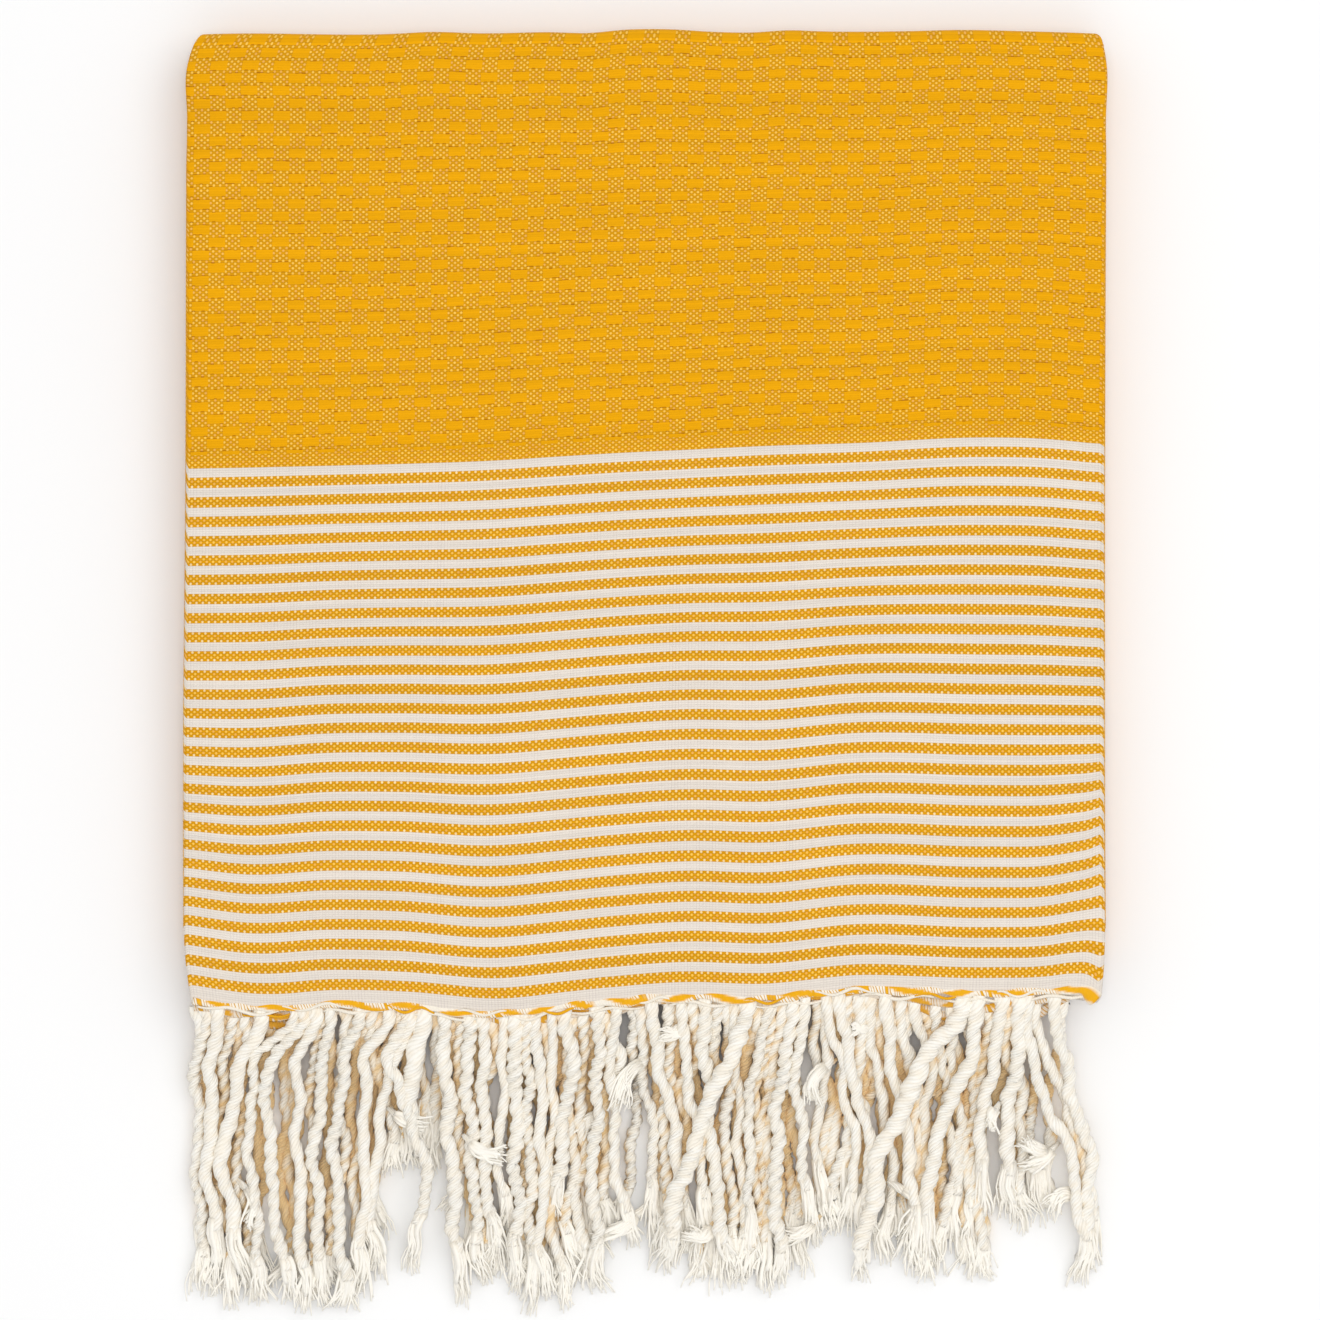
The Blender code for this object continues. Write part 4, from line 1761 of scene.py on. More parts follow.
    def relief(self, line: Line, run: Array) -> Array:
        """How far the face stands out of its plane: floats, stripes and faint ripples.

        Args:
            line: The skin's points.
            run: The stations.

        Returns:
            Heights, one row for each station.
        """
        weave = self.weave
        x, y = line.place[None], run[:, None]
        columns = x / weave.column
        inside = np.abs(columns - np.round(columns)) > self.float_gap
        rows = (y - weave.check_phase) / weave.check_weft
        odd = np.mod(np.floor(columns + 1e-6), 2)
        rows = np.mod(rows + weave.check_rows / 2 * odd, weave.check_rows)
        before, after = self.float_rise
        last = weave.float_rows
        lifted = smooth_step(before, after, rows)
        lifted = lifted * (1 - smooth_step(last - after, last - before, rows))
        check = self.float_height * lifted * inside * (y > weave.check_start)
        phase = 2 * math.pi * (y - weave.first_stripe) / weave.stripe_period
        stripes = self.stripe_height * 0.5 * (1 - np.sin(phase)) * (y < weave.stripes_end)
        ripple = self.ripple * sum(
            wave.share
            * np.sin(wave.x * x + wave.y * y + wave.phase)
            * np.sin(wave.cross_x * x + wave.cross_y * y + wave.cross_phase)
            for wave in RIPPLES
        )
        on_top = 1 - smooth_step(FOLDS[0].y - self.fold_fade, FOLDS[0].y, y)
        is_face = smooth_step(*self.side_fade, line.ply)[None]
        return (check + stripes + ripple) * on_top * is_face

    def rise_of_humps(self, x: Array, y: Array) -> Array:
        """How far soft rises lift the face ply, with both its skins.

        Args:
            x: Places across.
            y: Places along.

        Returns:
            The heights.
        """
        height = np.zeros(np.broadcast(x, y).shape)
        for hump in HUMPS:
            off = ((x - hump.x) / hump.half_width) ** 2 + ((y - hump.y) / hump.half_length) ** 2
            height += hump.height * np.exp(-off)
        return height * (y < FOLDS[0].y)

    def skin(self, line: Line, run: Array, outer: bool) -> Array:
        """Carry one skin along the path.

        Args:
            line: The skin's points.
            run: The stations.
            outer: Whether this is the skin that shows.

        Returns:
            Points with axes station, point and coordinate.
        """
        folding = self.folding
        wave = folding.face_wave(line.x, run)
        fade = np.clip(1 - run / folding.hem_blend, 0, 1)[:, None]
        middle = -fade * folding.hem_reach(Ply.MIDDLE, line.x)[None]
        under = -fade * folding.hem_reach(Ply.UNDER, line.x)[None]
        ply = line.ply[None]
        upper = np.clip(ply - 1, 0, 1)
        lower = np.clip(ply, 0, 1)
        right_arc = (line.x > 0) & (line.ply < 2) & (line.ply > 0) & (line.ply != 1)
        moved = upper * wave + (1 - upper) * (lower * middle + (1 - lower) * under)
        share = ply / 2
        moved = np.where(right_arc[None], share * wave + (1 - share) * under, moved)
        rise = line.rise[None] + np.zeros((len(run), 1))
        humps = self.rise_of_humps(line.x[None], run[:, None])
        rise = rise + smooth_step(*self.hump_fade, ply) * humps
        if outer:
            rise = rise + self.relief(line, run)
        points = folding.point(line.x[None], rise, run[:, None] + moved)
        past_band = np.abs(line.x) - folding.width / 2 + self.edge_band
        edge = np.clip(past_band / self.edge_band, 0, 1)
        points[..., 2] *= 1 - self.edge_drop * edge[None] ** 2
        return points

    def build(self) -> Piece:
        """Make the cloth.

        Returns:
            The sheet.
        """
        run = self.stations()
        ply = self.folding.ply
        outer = self.trace(ply / 2, self.outer_steps)
        inner = self.trace(-ply / 2, self.inner_steps)
        outer_points = self.skin(outer, run, True)
        inner_points = self.skin(inner, run, False)[:, ::-1]
        points = np.concatenate([outer_points, inner_points], axis=1)
        place = np.concatenate([outer.place, inner.place[::-1]])
        sides = len(place)
        draft = MeshDraft()
        uv = np.stack(np.broadcast_arrays(place[None], run[:, None]), axis=-1) * MILLIMETRE
        draft.add_points(points, uv)
        draft.add_rings(0, len(run), sides)
        last = (len(run) - 1) * sides
        ends = self.close_end(outer.place, inner.place, sides)
        draft.add_faces(ends)
        draft.add_faces([(last + c, last + b, last + a) for a, b, c in ends])
        piece = draft.build("woven_cloth", self.finish.make())
        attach(piece, "root")
        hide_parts("cloth")
        return piece

    def flat_width(self) -> float:
        """Width of the cloth before it was folded, in metres."""
        return float(np.ptp(self.trace(0.0, (1, 1, 0, 1, 1)).place)) * MILLIMETRE

    def close_end(self, outer: Array, inner: Array, sides: int) -> list[tuple[int, int, int]]:
        """Join the two skins across the thickness of one end.

        Args:
            outer: Unfolded places of the outer skin's points.
            inner: The same for the inner skin.
            sides: Points in one ring.

        Returns:
            Triangles of ring indices.
        """
        faces = []
        i = j = 0
        while i < len(outer) - 1 or j < len(inner) - 1:
            far = j == len(inner) - 1
            if far or (i < len(outer) - 1 and outer[i + 1] <= inner[j + 1]):
                faces.append((i + 1, i, sides - 1 - j))
                i += 1
            else:
                faces.append((i, sides - 1 - j, sides - 2 - j))
                j += 1
        return faces


class YarnSpan(NamedTuple):
    """A leaf-shaped stretch of the hem where the yellow weft hides the white threads."""

    middle: float
    half_length: float
    slant: float     # how far it crosses the roll, from its upper to its lower side


SOLID_SPANS = table(
    YarnSpan,
    (-156, 5, 0.5),
    (-136, 10, 0.8),
    (-108, 14, 1.0),
    (-88, 6, 0.4),
    (-67, 9, -0.7),
    (-51, 6, 1.0),
    (-38, 6, -0.8),
    (-24, 5, 0.6),
    (-7, 9, 0.9),
    (12, 6, -0.5),
    (30, 10, 0.8),
    (58, 11, 1.0),
    (76, 6, -0.6),
    (96, 9, 0.8),
    (114, 6, -0.7),
    (132, 10, 0.9),
    (155, 8, 0.8),
    (163, 7, 0.1),
)


class LooseYarn(NamedTuple):
    """A weft thread that has come loose along the hem."""

    start: float
    length: float
    out: float      # how far it lies beyond the hem
    sway: float
    thick: float
    pale: float     # 1 for white, 0 for yellow


LOOSE_YARNS = table(
    LooseYarn,
    (-164, 30, 0.6, 0.8, 0.45, 1),
    (-148, 18, 1.9, 0.5, 0.30, 0),
    (-133, 26, -0.6, 0.9, 0.40, 1),
    (-118, 22, 1.6, 0.6, 0.50, 1),
    (-96, 19, 0.2, 1.1, 0.38, 0),
    (-90, 30, 1.8, 0.7, 0.45, 1),
    (-70, 20, -0.8, 0.7, 0.35, 1),
    (-55, 24, 1.5, 1.0, 0.50, 1),
    (-42, 20, 0.4, 0.9, 0.36, 0),
    (-28, 28, 1.9, 0.6, 0.42, 1),
    (-6, 18, -0.5, 0.8, 0.40, 1),
    (8, 28, 1.7, 0.8, 0.48, 1),
    (34, 20, 0.0, 0.9, 0.35, 0),
    (40, 26, 1.9, 0.6, 0.44, 1),
    (62, 22, -0.7, 0.9, 0.40, 1),
    (78, 28, 1.6, 0.9, 0.50, 1),
    (98, 20, 0.5, 0.8, 0.34, 0),
    (108, 24, 1.9, 0.6, 0.42, 1),
    (128, 20, -0.4, 1.0, 0.38, 1),
    (138, 25, 1.7, 0.7, 0.46, 1),
)


@dataclass
class RolledHem:
    """The hem of one ply, rolled over its last weft threads."""

    folding: Folding
    ply: Ply
    finish: HemYarn
    radius: float = 1.45
    sides: int = 16
    step: float = 0.8
    seed: int = 3
    yarn_sides: int = 6
    painted_shade_depth: tuple = (0.35, 0.25, 0.0)      # how much painted shade darkens the hem of each ply toward brown
    corner: float = 1.5                    # how much fuller the face's roll is at its right end
    corner_rise: tuple = (157.0, 163.0)    # from here to there
    left_gap: float = 1.0
    right_gap: float = 1.6
    strays: tuple = (-0.6, 0.6)            # how far the roll strays, with a knot every so often
    stray_knots: int = 9
    stray_lift: float = 0.25
    swells: tuple = (-0.45, 0.35)          # how much fuller it is in places
    swell_knots: int = 7
    leaf_swell: float = 0.45
    hidden_swell: float = 0.5
    patch_knots: int = 11
    pale_from: tuple = (0.5, 0.75)
    flatness: float = 0.62
    leaf_width: float = 0.8
    leaf_edge: float = 0.25
    face_set: tuple = (0.7, 0.25)          # how far back and how high the roll sits on its ply
    hidden_set: tuple = (0.2, -0.1)
    yarn_turns: float = 1.5                # how often a loose thread sways from side to side
    yarn_lifts: tuple = (0.85, 0.25)       # on the roll, and beyond yarn_edge in front of it
    yarn_edge: float = 1.0
    yarn_bow: float = 0.4
    yarn_flat: float = 1.3
    yarn_least: float = 0.08

    def build(self) -> Piece:
        """Make the roll, and the loose threads along the face's.

        Returns:
            The piece.
        """
        folding = self.folding
        is_face = self.ply is Ply.FACE
        half = folding.width / 2
        left = -half + (folding.under_stop if self.ply is Ply.UNDER else self.left_gap)
        right = half - (folding.middle_stop if self.ply is Ply.MIDDLE else self.right_gap)
        x = np.arange(left, right, self.step)
        random = np.random.default_rng(self.seed + self.ply.value)
        drift = uneven(random, x[:: self.stray_knots], self.strays, x)
        swell = uneven(random, x[:: self.swell_knots], self.swells, x)
        patches = uneven(random, x[:: self.patch_knots], (0, 1), x)[:, None]
        leaves = [self.leaf(span, x) for span in SOLID_SPANS]
        if is_face:
            fullness = np.max([1 - np.abs(place) for place, _ in leaves], axis=0)
            swell = swell + self.leaf_swell * np.clip(fullness, 0, 1)
            swell = swell + self.corner * smooth_step(*self.corner_rise, x)
        else:
            swell = self.hidden_swell * (1 + swell)
        back, raised = self.face_set if is_face else self.hidden_set
        reach = folding.hem_reach(self.ply, x) - back + drift
        rise = folding.ply_rise(self.ply) + raised
        line = folding.point(x, rise + self.stray_lift * drift, -reach)
        angle = ring_angles(self.sides)
        radius = (self.radius + swell)[:, None] + 0 * angle[None]
        solid = np.zeros(radius.shape)
        for place, axis in leaves:
            off = np.abs(np.cos(angle)[None] - axis[:, None])
            width = self.leaf_width * np.sqrt(np.clip(1 - place**2, 0, 1))[:, None]
            solid = np.maximum(solid, smooth_step(0.0, self.leaf_edge, width - off))
        draft = MeshDraft()
        draft.add_tube(
            line,
            round_outline(angle, radius, self.flatness * radius),
            tube_places(x, self.sides)[..., ::-1],
            (0.0, 1.0),
            solid=solid,
            pale=smooth_step(*self.pale_from, patches) * (1 - solid),
            buried=self.painted_shade_depth[self.ply.value],
        )
        if is_face:
            for yarn in LOOSE_YARNS:
                self.add_yarn(draft, yarn)
        piece = draft.build(f"hem_roll_{self.ply.name.lower()}", self.finish.make())
        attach(piece, "root")
        return piece

    def add_yarn(self, draft: MeshDraft, yarn: LooseYarn) -> None:
        """Add a loose thread.

        Args:
            draft: The hem's mesh.
            yarn: The thread.
        """
        x = np.arange(yarn.start, yarn.start + yarn.length, self.step)
        share = (x - yarn.start) / yarn.length
        phase = yarn.thick * 7      # differs from thread to thread
        sway = yarn.sway * np.sin(2 * math.pi * (share * self.yarn_turns + phase))
        reach = self.folding.hem_reach(Ply.FACE, x) + yarn.out + sway
        bow = np.sin(math.pi * share)
        lift = self.yarn_lifts[0 if yarn.out < self.yarn_edge else 1]
        rise = self.folding.ply_rise(Ply.FACE) + lift + self.yarn_bow * bow
        thick = yarn.thick * (0.5 + 0.5 * bow)[:, None] + self.yarn_least
        draft.add_tube(
            self.folding.point(x, rise, -reach),
            round_outline(ring_angles(self.yarn_sides), self.yarn_flat * thick, thick),
            tube_places(x, self.yarn_sides)[..., ::-1],
            (0.0, 1.0),
            solid=1 - yarn.pale,
            pale=yarn.pale,
            buried=0.0,
        )

    def leaf(self, span: YarnSpan, x: Array) -> tuple[Array, Array]:
        """Where places lie in a leaf-shaped stretch.

        Args:
            span: The stretch.
            x: Places along the roll.

        Returns:
            Place from -1 to 1 within the stretch, and the leaf's middle across the roll.
        """
        place = (x - span.middle) / span.half_length
        return place, np.clip(span.slant * place, -1, 1)


# ---- the fringe ----


@dataclass
class CordShape:
    """Cross-section and twist of a two-ply cord."""

    size: float = 2.75            # half width over both lobes
    tight_offset: float = 0.95    # distance of a lobe from the middle in a hard twist
    loose_offset: float = 0.45    # the same in a slack one
    pitch: float = 9.5
    sides: int = 16
    step: float = 1.15
    fluff: float = 0.13
    slack_pitch: float = 0.6      # how much longer the twist of a slack cord is
    pitches: tuple = (0.9, 1.12)
    paces: tuple = (0.75, 1.25)   # how evenly it is twisted, with a knot every so often
    pace_knots: float = 8.0
    slubs: tuple = (0.87, 1.1)
    slub_knots: float = 5.0
    untwisted: tuple = (1.0, 9.0)          # the twist sets in over this stretch
    head: float = 0.86            # how thick a cord starts
    head_length: float = 8.0
    flat_head: float = 0.55
    flat_length: float = 9.0
    neck: float = 0.16            # how much it narrows before its open end
    neck_length: float = 6.0
    groove_shade: float = 0.24

    def skin(self, offset: float) -> Array:
        """Distance of the cord's skin from its middle, for each side.

        Args:
            offset: Distance of each lobe from the middle.

        Returns:
            The distances.
        """
        angle = ring_angles(self.sides)
        radius = self.size - offset
        bulge = radius**2 - (offset * np.sin(angle)) ** 2
        return offset * np.abs(np.cos(angle)) + np.sqrt(bulge)


PLY_NUMBERS = 1000   # numbers of the cords of one ply
FLUNG_NUMBER = 5000  # number of the first flung end
LOW_NUMBER = 40      # the first low cord's place among the fill
CORD_SEED = 7        # what a cord's number is raised by, for its random values
END_SEED = 77        # the same for its open end
GAP_SHARE = 0.85     # of a cord's room, kept between it and the cords over it


def seek_gap(x: float, taken: list[float], room: float, most: float, edge: float) -> float:
    """Move a cord towards the gap between the cords that lie over it.

    Args:
        x: Its place.
        taken: Places of the cords over it.
        room: Room that one cord needs.
        most: How far it may move.
        edge: Where the fringe ends on either side.

    Returns:
        The new place.
    """
    walls = sorted([-edge, *taken, edge])
    index = int(np.clip(np.searchsorted(walls, x), 1, len(walls) - 1))
    low, high = walls[index - 1], walls[index]
    if high - low <= 2 * room:
        target = (low + high) / 2
    else:
        clear = GAP_SHARE * room
        target = float(np.clip(x, low + clear, high - clear))
    return x + float(np.clip(target - x, -most, most))


def bare_places() -> list[list[float]]:
    """Places kept free of cords that aren't drawn.

    Returns:
        One list for the hem, one for each ring and one for the tips.
    """
    lines = [0.0, *(ring.y for ring in RINGS)]
    kept = []
    for y in lines:
        share = y / BARE_Y
        spots = [spot.near + share * (spot.far - spot.near) for spot in BARE_SPOTS]
        kept.append(spots if share <= 1 else [])
    return [*kept, []]


@dataclass
class Cover:
    """How high the fringe lies everywhere, so that painted shade can be laid on the cords under
    others.
    """

    cell: float = 1.0
    grid: tuple = (380, 170)
    corner: tuple = (-190.0, -150.0)
    radius: float = 2.2           # of a cord
    crown: float = 0.6            # how much of its radius counts as its height
    reach: int = 4                # of the average, in cells
    grace: float = 0.5            # points this far above the average lie open
    deepest: float = 5.5

    def __post_init__(self) -> None:
        """Start with a bare floor."""
        self.height = np.zeros(self.grid)
        self.mean = self.height

    def cells(self, points: Array) -> tuple[Array, Array]:
        """Find the cells in which points lie.

        Args:
            points: The points.

        Returns:
            Their rows and columns.
        """
        index = ((points[..., :2] - self.corner) / self.cell).astype(int)
        index = np.clip(index, 0, np.array(self.grid) - 1)
        return index[..., 0], index[..., 1]

    def lay(self, line: Array) -> None:
        """Raise the cover under a cord.

        Args:
            line: The cord's middle line.
        """
        reach = int(round(self.radius / self.cell))
        for dx in range(-reach, reach + 1):
            for dy in range(-reach, reach + 1):
                if dx * dx + dy * dy <= reach * reach:
                    cells = self.cells(line + [dx * self.cell, dy * self.cell, 0])
                    np.maximum.at(self.height, cells, line[:, 2] + self.radius * self.crown)

    def finish(self) -> None:
        """Average the cover over a square about each cell, once every cord is laid."""
        side = 2 * self.reach + 1
        padded = np.pad(self.height, self.reach, mode="edge")
        total = np.zeros_like(self.height)
        for dx in range(side):
            for dy in range(side):
                total += padded[dx : dx + total.shape[0], dy : dy + total.shape[1]]
        self.mean = total / side**2

    def depth(self, points: Array) -> Array:
        """How deep points lie under the cover, from 0 for open to 1 for fully under it: the
        strength of their painted shade.
        """
        below = self.mean[self.cells(points)] - points[..., 2] + self.grace
        return np.clip(below / self.deepest, 0, 1)


@dataclass
class CordRun:
    """One cord: the course of its twisted part and of its open end."""

    twisted: Array
    tuft: Array
    number: int
    scale: float
    fan: float
    rest: float = 0.0     # height on which its open end lies, above 0 for a flung one


@dataclass
class OpenEnd:
    """The open end of a cord: loose yarns round a dense heart, all sinking to the floor."""

    yarns: int
    core_yarns: int = 4                    # thick ones in the middle
    yarn_sides: int = 5
    yarn_steps: int = 7
    heart_sides: int = 14
    heart_steps: int = 9
    heart_turns: float = 2.4               # how often the cord's yarns go round the heart
    yarn_turns: float = 0.5
    overlap: int = 4                       # points of the cord over which the yarns start
    start: float = 0.8                     # how widely the yarns start
    lean: float = 2.5                      # how far the whole end leans to one side
    core_out: float = 0.6                  # spread and length of the core beside the rest's
    core_reach: float = 0.88
    reaches: tuple = (0.6, 1.05)           # lengths, as shares of the open end's
    curl: float = 1.5                      # how far a yarn curls, and in how many half waves
    curls: tuple = (0.8, 2.6)
    rests: tuple = (1.0, 6.0)              # heights on which the yarns' ends lie
    core_widths: tuple = (0.85, 1.3)
    yarn_widths: tuple = (0.36, 0.7)
    taper: float = 0.45
    sinking: tuple = (0.1, 1.0)            # over this share of its length
    shade: float = 0.3
    shade_loss: float = 0.9
    shade_fade: tuple = (0.1, 0.7)
    loosening: tuple = (0.0, 0.35)         # over which the twist is lost
    heart_reaches: tuple = (0.72, 0.92)
    heart_rest: float = 1.7
    heart_drop: float = 0.3
    heart_stem: float = 2.1
    heart_fan: float = 0.62
    heart_flat: float = 0.9
    heart_height: float = 1.5
    heart_bumps: float = 0.09
    heart_loose: float = 0.75
    heart_close: float = 0.75
    closing: tuple = (0.75, 1.0)

    def add(self, draft: MeshDraft, cord: CordRun, cover: Cover) -> None:
        """Add the open end of a cord.

        Args:
            draft: The layer's mesh.
            cord: The cord.
            cover: Heights of the whole fringe.
        """
        random = np.random.default_rng(cord.number + END_SEED)
        line = cord.tuft
        if cord.rest == 0:
            line = np.concatenate([cord.twisted[-self.overlap - 1 : -1], cord.tuft])
        lean = random.uniform(-self.lean, self.lean)
        self.add_heart(draft, cord, cover, line, lean, random)
        run = run_along(line)
        ahead, sideways, _ = frames_along(line)
        for number in range(self.yarns):
            is_core = number < self.core_yarns
            spot = random.normal(0, self.start, 2) * cord.scale
            out = random.uniform(-1, 1) * (self.core_out if is_core else 1.0)
            reach = random.uniform(*self.reaches) * (self.core_reach if is_core else 1.0)
            at = np.linspace(0, run[-1] * reach, self.yarn_steps + 1)
            share = at / run[-1]
            middle = rows_between(at, run, line)
            middle = middle + np.clip(at - run[-1], 0, None)[:, None] * ahead[-1]
            curl = random.uniform(-self.curl, self.curl)
            curl = curl * np.sin(math.pi * share * random.uniform(*self.curls))
            across = spot[0] + out * cord.fan * share**1.5 + lean * share**2 + curl
            here = middle + across[:, None] * rows_between(at, run, sideways)
            floor = cord.rest + random.uniform(*self.rests)
            sink = smooth_step(*self.sinking, share)
            here[:, 2] = (middle[:, 2] + spot[1]) * (1 - sink) + floor * sink
            thick = random.uniform(*(self.core_widths if is_core else self.yarn_widths))
            width = (thick * (1 - self.taper * share))[:, None]
            here[:, 2] = np.maximum(here[:, 2], width[:, 0])
            # The yarn gets painted shade where it lies under other cords.
            draft.add_tube(
                here,
                round_outline(ring_angles(self.yarn_sides), width, width),
                tube_places(at, self.yarn_sides, self.yarn_turns),
                (self.yarn_turns, 0.0),
                buried=self.painted_shade_depth(cover, here, share),
                loose=smooth_step(*self.loosening, share)[:, None],
            )

    def painted_shade_depth(self, cover: Cover, points: Array, share: Array) -> Array:
        """How much painted shade a yarn or the heart gets, from how deep it lies under other
        cords.

        Args:
            cover: Heights of the whole fringe.
            points: Points of its middle line.
            share: How far each of them lies along the open end.

        Returns:
            The depths, one row for each point.
        """
        fade = 1 - self.shade_loss * smooth_step(*self.shade_fade, share)
        return (self.shade * cover.depth(points) * fade)[:, None]

    def add_heart(
        self,
        draft: MeshDraft,
        cord: CordRun,
        cover: Cover,
        line: Array,
        lean: float,
        random: np.random.Generator,
    ) -> None:
        """Add the dense heart of an open end, as one soft flattened mass of fibres.

        Args:
            draft: The layer's mesh.
            cord: The cord.
            cover: Heights of the whole fringe.
            line: Middle line of the open end.
            lean: How far its end leans to one side.
            random: Source of its bumps.
        """
        full = run_along(line)
        reach = full[-1] * random.uniform(*self.heart_reaches)
        at = np.linspace(0, reach, self.heart_steps + 1)
        share = at / at[-1]
        middle = rows_between(at, full, line)
        _, sideways, _ = frames_along(middle)
        middle = middle + (lean * share**2)[:, None] * sideways
        sink = smooth_step(*self.sinking, share)
        floor = cord.rest + self.heart_rest
        middle[:, 2] = (middle[:, 2] - self.heart_drop) * (1 - sink) + floor * sink
        close = 1 - self.heart_close * smooth_step(*self.closing, share)
        stem = self.heart_stem * cord.scale * (1 - share)
        width = (stem + self.heart_fan * cord.fan * share**0.9) * close
        height = (stem * self.heart_flat + self.heart_height * share) * close
        bumps = 1 + random.normal(0, self.heart_bumps, (len(at), self.heart_sides))
        # The heart gets painted shade where it lies under other cords.
        draft.add_tube(
            middle,
            round_outline(
                ring_angles(self.heart_sides), width[:, None] * bumps, height[:, None] * bumps
            ),
            tube_places(at, self.heart_sides, self.heart_turns),
            (self.heart_turns, 0.0),
            buried=self.painted_shade_depth(cover, middle, share),
            loose=self.heart_loose * smooth_step(*self.loosening, share)[:, None],
        )


@dataclass
class FringeLayer:
    """The cords that one ply's hem carries."""

    folding: Folding
    layer: str
    ply: Ply
    finish: TwistedCotton
    shape: CordShape
    low_count: int = 60
    end_root: float = 5.0
    last_root: float = 150.0
    bare_half: float = 2.8        # no low cord starts this near to a bare spot
    root_width: float = 2.6
    root_space: float = 0.7
    tip_width: float = 5.2
    tip_limit: float = 161.0
    overreach: float = 3.0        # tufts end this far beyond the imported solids
    fill_edge: float = 168.0
    most_shift: float = 5.0
    head_spread: tuple = (0.8, 0.55, 0.3)  # how much flatter the heads of each ply's cords are
    squeeze: tuple = (0.7, 0.85, 1.0)      # how close each ply's cords may lie
    tuft_yarns: tuple = (20, 28, 36)       # in each ply's cords
    open_lengths: tuple = (11.0, 24.0)
    fans: tuple = (2.5, 7.0)
    thicknesses: tuple = (0.94, 1.08)
    near_stray: float = 6.0                # how far a fill cord's places wander altogether
    far_stray: float = 9.0
    tip_stray: float = 6.0
    root_stray: float = 3.0
    held: tuple = (1.2, -0.3)              # where a cord starts behind its hem, and how high
    leaving: tuple = (-3.4, -0.4)          # where it leaves the hem
    tip_drop: float = 1.0
    stray_from: tuple = (6.0, 26.0)
    stray_lengths: tuple = (0.8, 1.25)
    strays: tuple = ((36.0, 0.9), (20.0, 0.45), (11.0, 0.18))      # wavelengths and reaches
    flung_drop: float = 4.0                # how far under its height a flung end starts
    flung_rise: float = 0.6
    flung_scale: float = 0.8
    flung_head: float = 0.3

    def fill(self, number: int, root: float) -> Strand:
        """A cord between the drawn ones, which hangs nearly straight.

        Args:
            number: Tells the cords apart.
            root: x at the hem.

        Returns:
            The cord's places.
        """
        near = root + wander(number, self.near_stray)
        far = near + wander(number + 5, self.far_stray)
        tip = far + wander(number + 11, self.tip_stray)
        tip = max(-self.tip_limit, min(self.tip_limit, tip))
        reach = float(np.interp(tip, column(TIP_REACH, "x"), column(TIP_REACH, "length")))
        length = reach + wander(number + 3, self.tip_stray)
        return Strand(self.layer, root, near, far, tip, length)

    def strands(self) -> list[Strand]:
        """Gather the cords of this layer.

        Returns:
            The drawn ones and the fill, from left to right.
        """
        chosen = [strand for strand in STRANDS if strand.layer == self.layer]
        if self.layer == "mid":
            chosen += [self.fill(i, x) for i, x in enumerate(MID_FILL)]
        if self.layer == "low":
            first = -self.folding.width / 2 + self.end_root
            pitch = (self.last_root - first) / (self.low_count - 1)
            bare = column(BARE_SPOTS, "near")
            for number in range(self.low_count):
                root = first + pitch * number + wander(number, self.root_stray)
                if np.min(np.abs(bare - root)) > self.bare_half:
                    chosen.append(self.fill(number + LOW_NUMBER, root))
        return sorted(chosen, key=lambda strand: strand.root)

    def course_x(self, strand: Strand, y: float) -> float:
        """Where a cord crosses a line in front of the hem.

        Args:
            strand: The cord's places.
            y: The line.

        Returns:
            The cord's place on it.
        """
        tip_y = min(-strand.length, FAR_Y - LAST_RING)
        lines = (tip_y, FAR_Y, NEAR_Y, 0.0)
        return float(np.interp(y, lines, (strand.tip, strand.far, strand.near, strand.root)))

    def lay_out(self, above: list[list[float]]) -> tuple[list[CordRun], list[list[float]]]:
        """Lay out the courses of all cords of this layer.

        Args:
            above: Places of the cords over this layer, one list for the hem, one for each
                ring and one for the tips.

        Returns:
            One course for each cord, and the places with this layer's cords added.
        """
        strands = self.strands()
        drawn = [strand in STRANDS for strand in strands]
        lines = [(0.0, self.root_width + self.root_space)]
        lines += [(ring.y, ring.width) for ring in RINGS]
        added = []
        for (y, width), taken in zip(lines, above):
            wanted = [self.course_x(strand, y) for strand in strands]
            added.append(self.places(wanted, drawn, taken, width))
        tips = [strand.tip for strand in strands]
        added.append(self.places(tips, drawn, above[-1], self.tip_width))
        runs = [
            self.course(number, strand, crossings)
            for number, (strand, crossings) in enumerate(zip(strands, zip(*added)))
        ]
        return runs, [[*taken, *places] for taken, places in zip(above, added)]

    def course(self, number: int, strand: Strand, crossings: tuple[float, ...]) -> CordRun:
        """Draw the course of one cord.

        Args:
            number: The cord's number in its layer.
            strand: Its places and its reach.
            crossings: x at the hem, at each ring and at the tip.

        Returns:
            The cord.
        """
        folding = self.folding
        root, *rings, tip = crossings
        number += PLY_NUMBERS * self.ply.value
        random = np.random.default_rng(number)
        reach = float(folding.hem_reach(self.ply, np.array([root]))[0])
        rise = folding.ply_rise(self.ply)
        knots = [
            folding.point(root, rise + up, -reach + back)
            for back, up in (self.held, self.leaving)
        ]
        for ring, x in zip(RINGS, rings):
            if ring.y < -strand.length + LAST_RING:
                break
            knots.append(np.array([x, ring.y, getattr(ring, self.layer) + strand.lift]))
        last = knots[-1][2] - self.tip_drop
        knots.append(np.array([tip, -strand.length - self.overreach, last]))
        line = smooth_course(np.array(knots), self.shape.step)
        line = self.stray(line, random)
        run = run_along(line)
        cut = int(np.searchsorted(run, run[-1] - random.uniform(*self.open_lengths)))
        scale = strand.thick * random.uniform(*self.thicknesses)
        fan = random.uniform(*self.fans)
        return CordRun(line[: cut + 1], line[cut:], number, scale, fan)

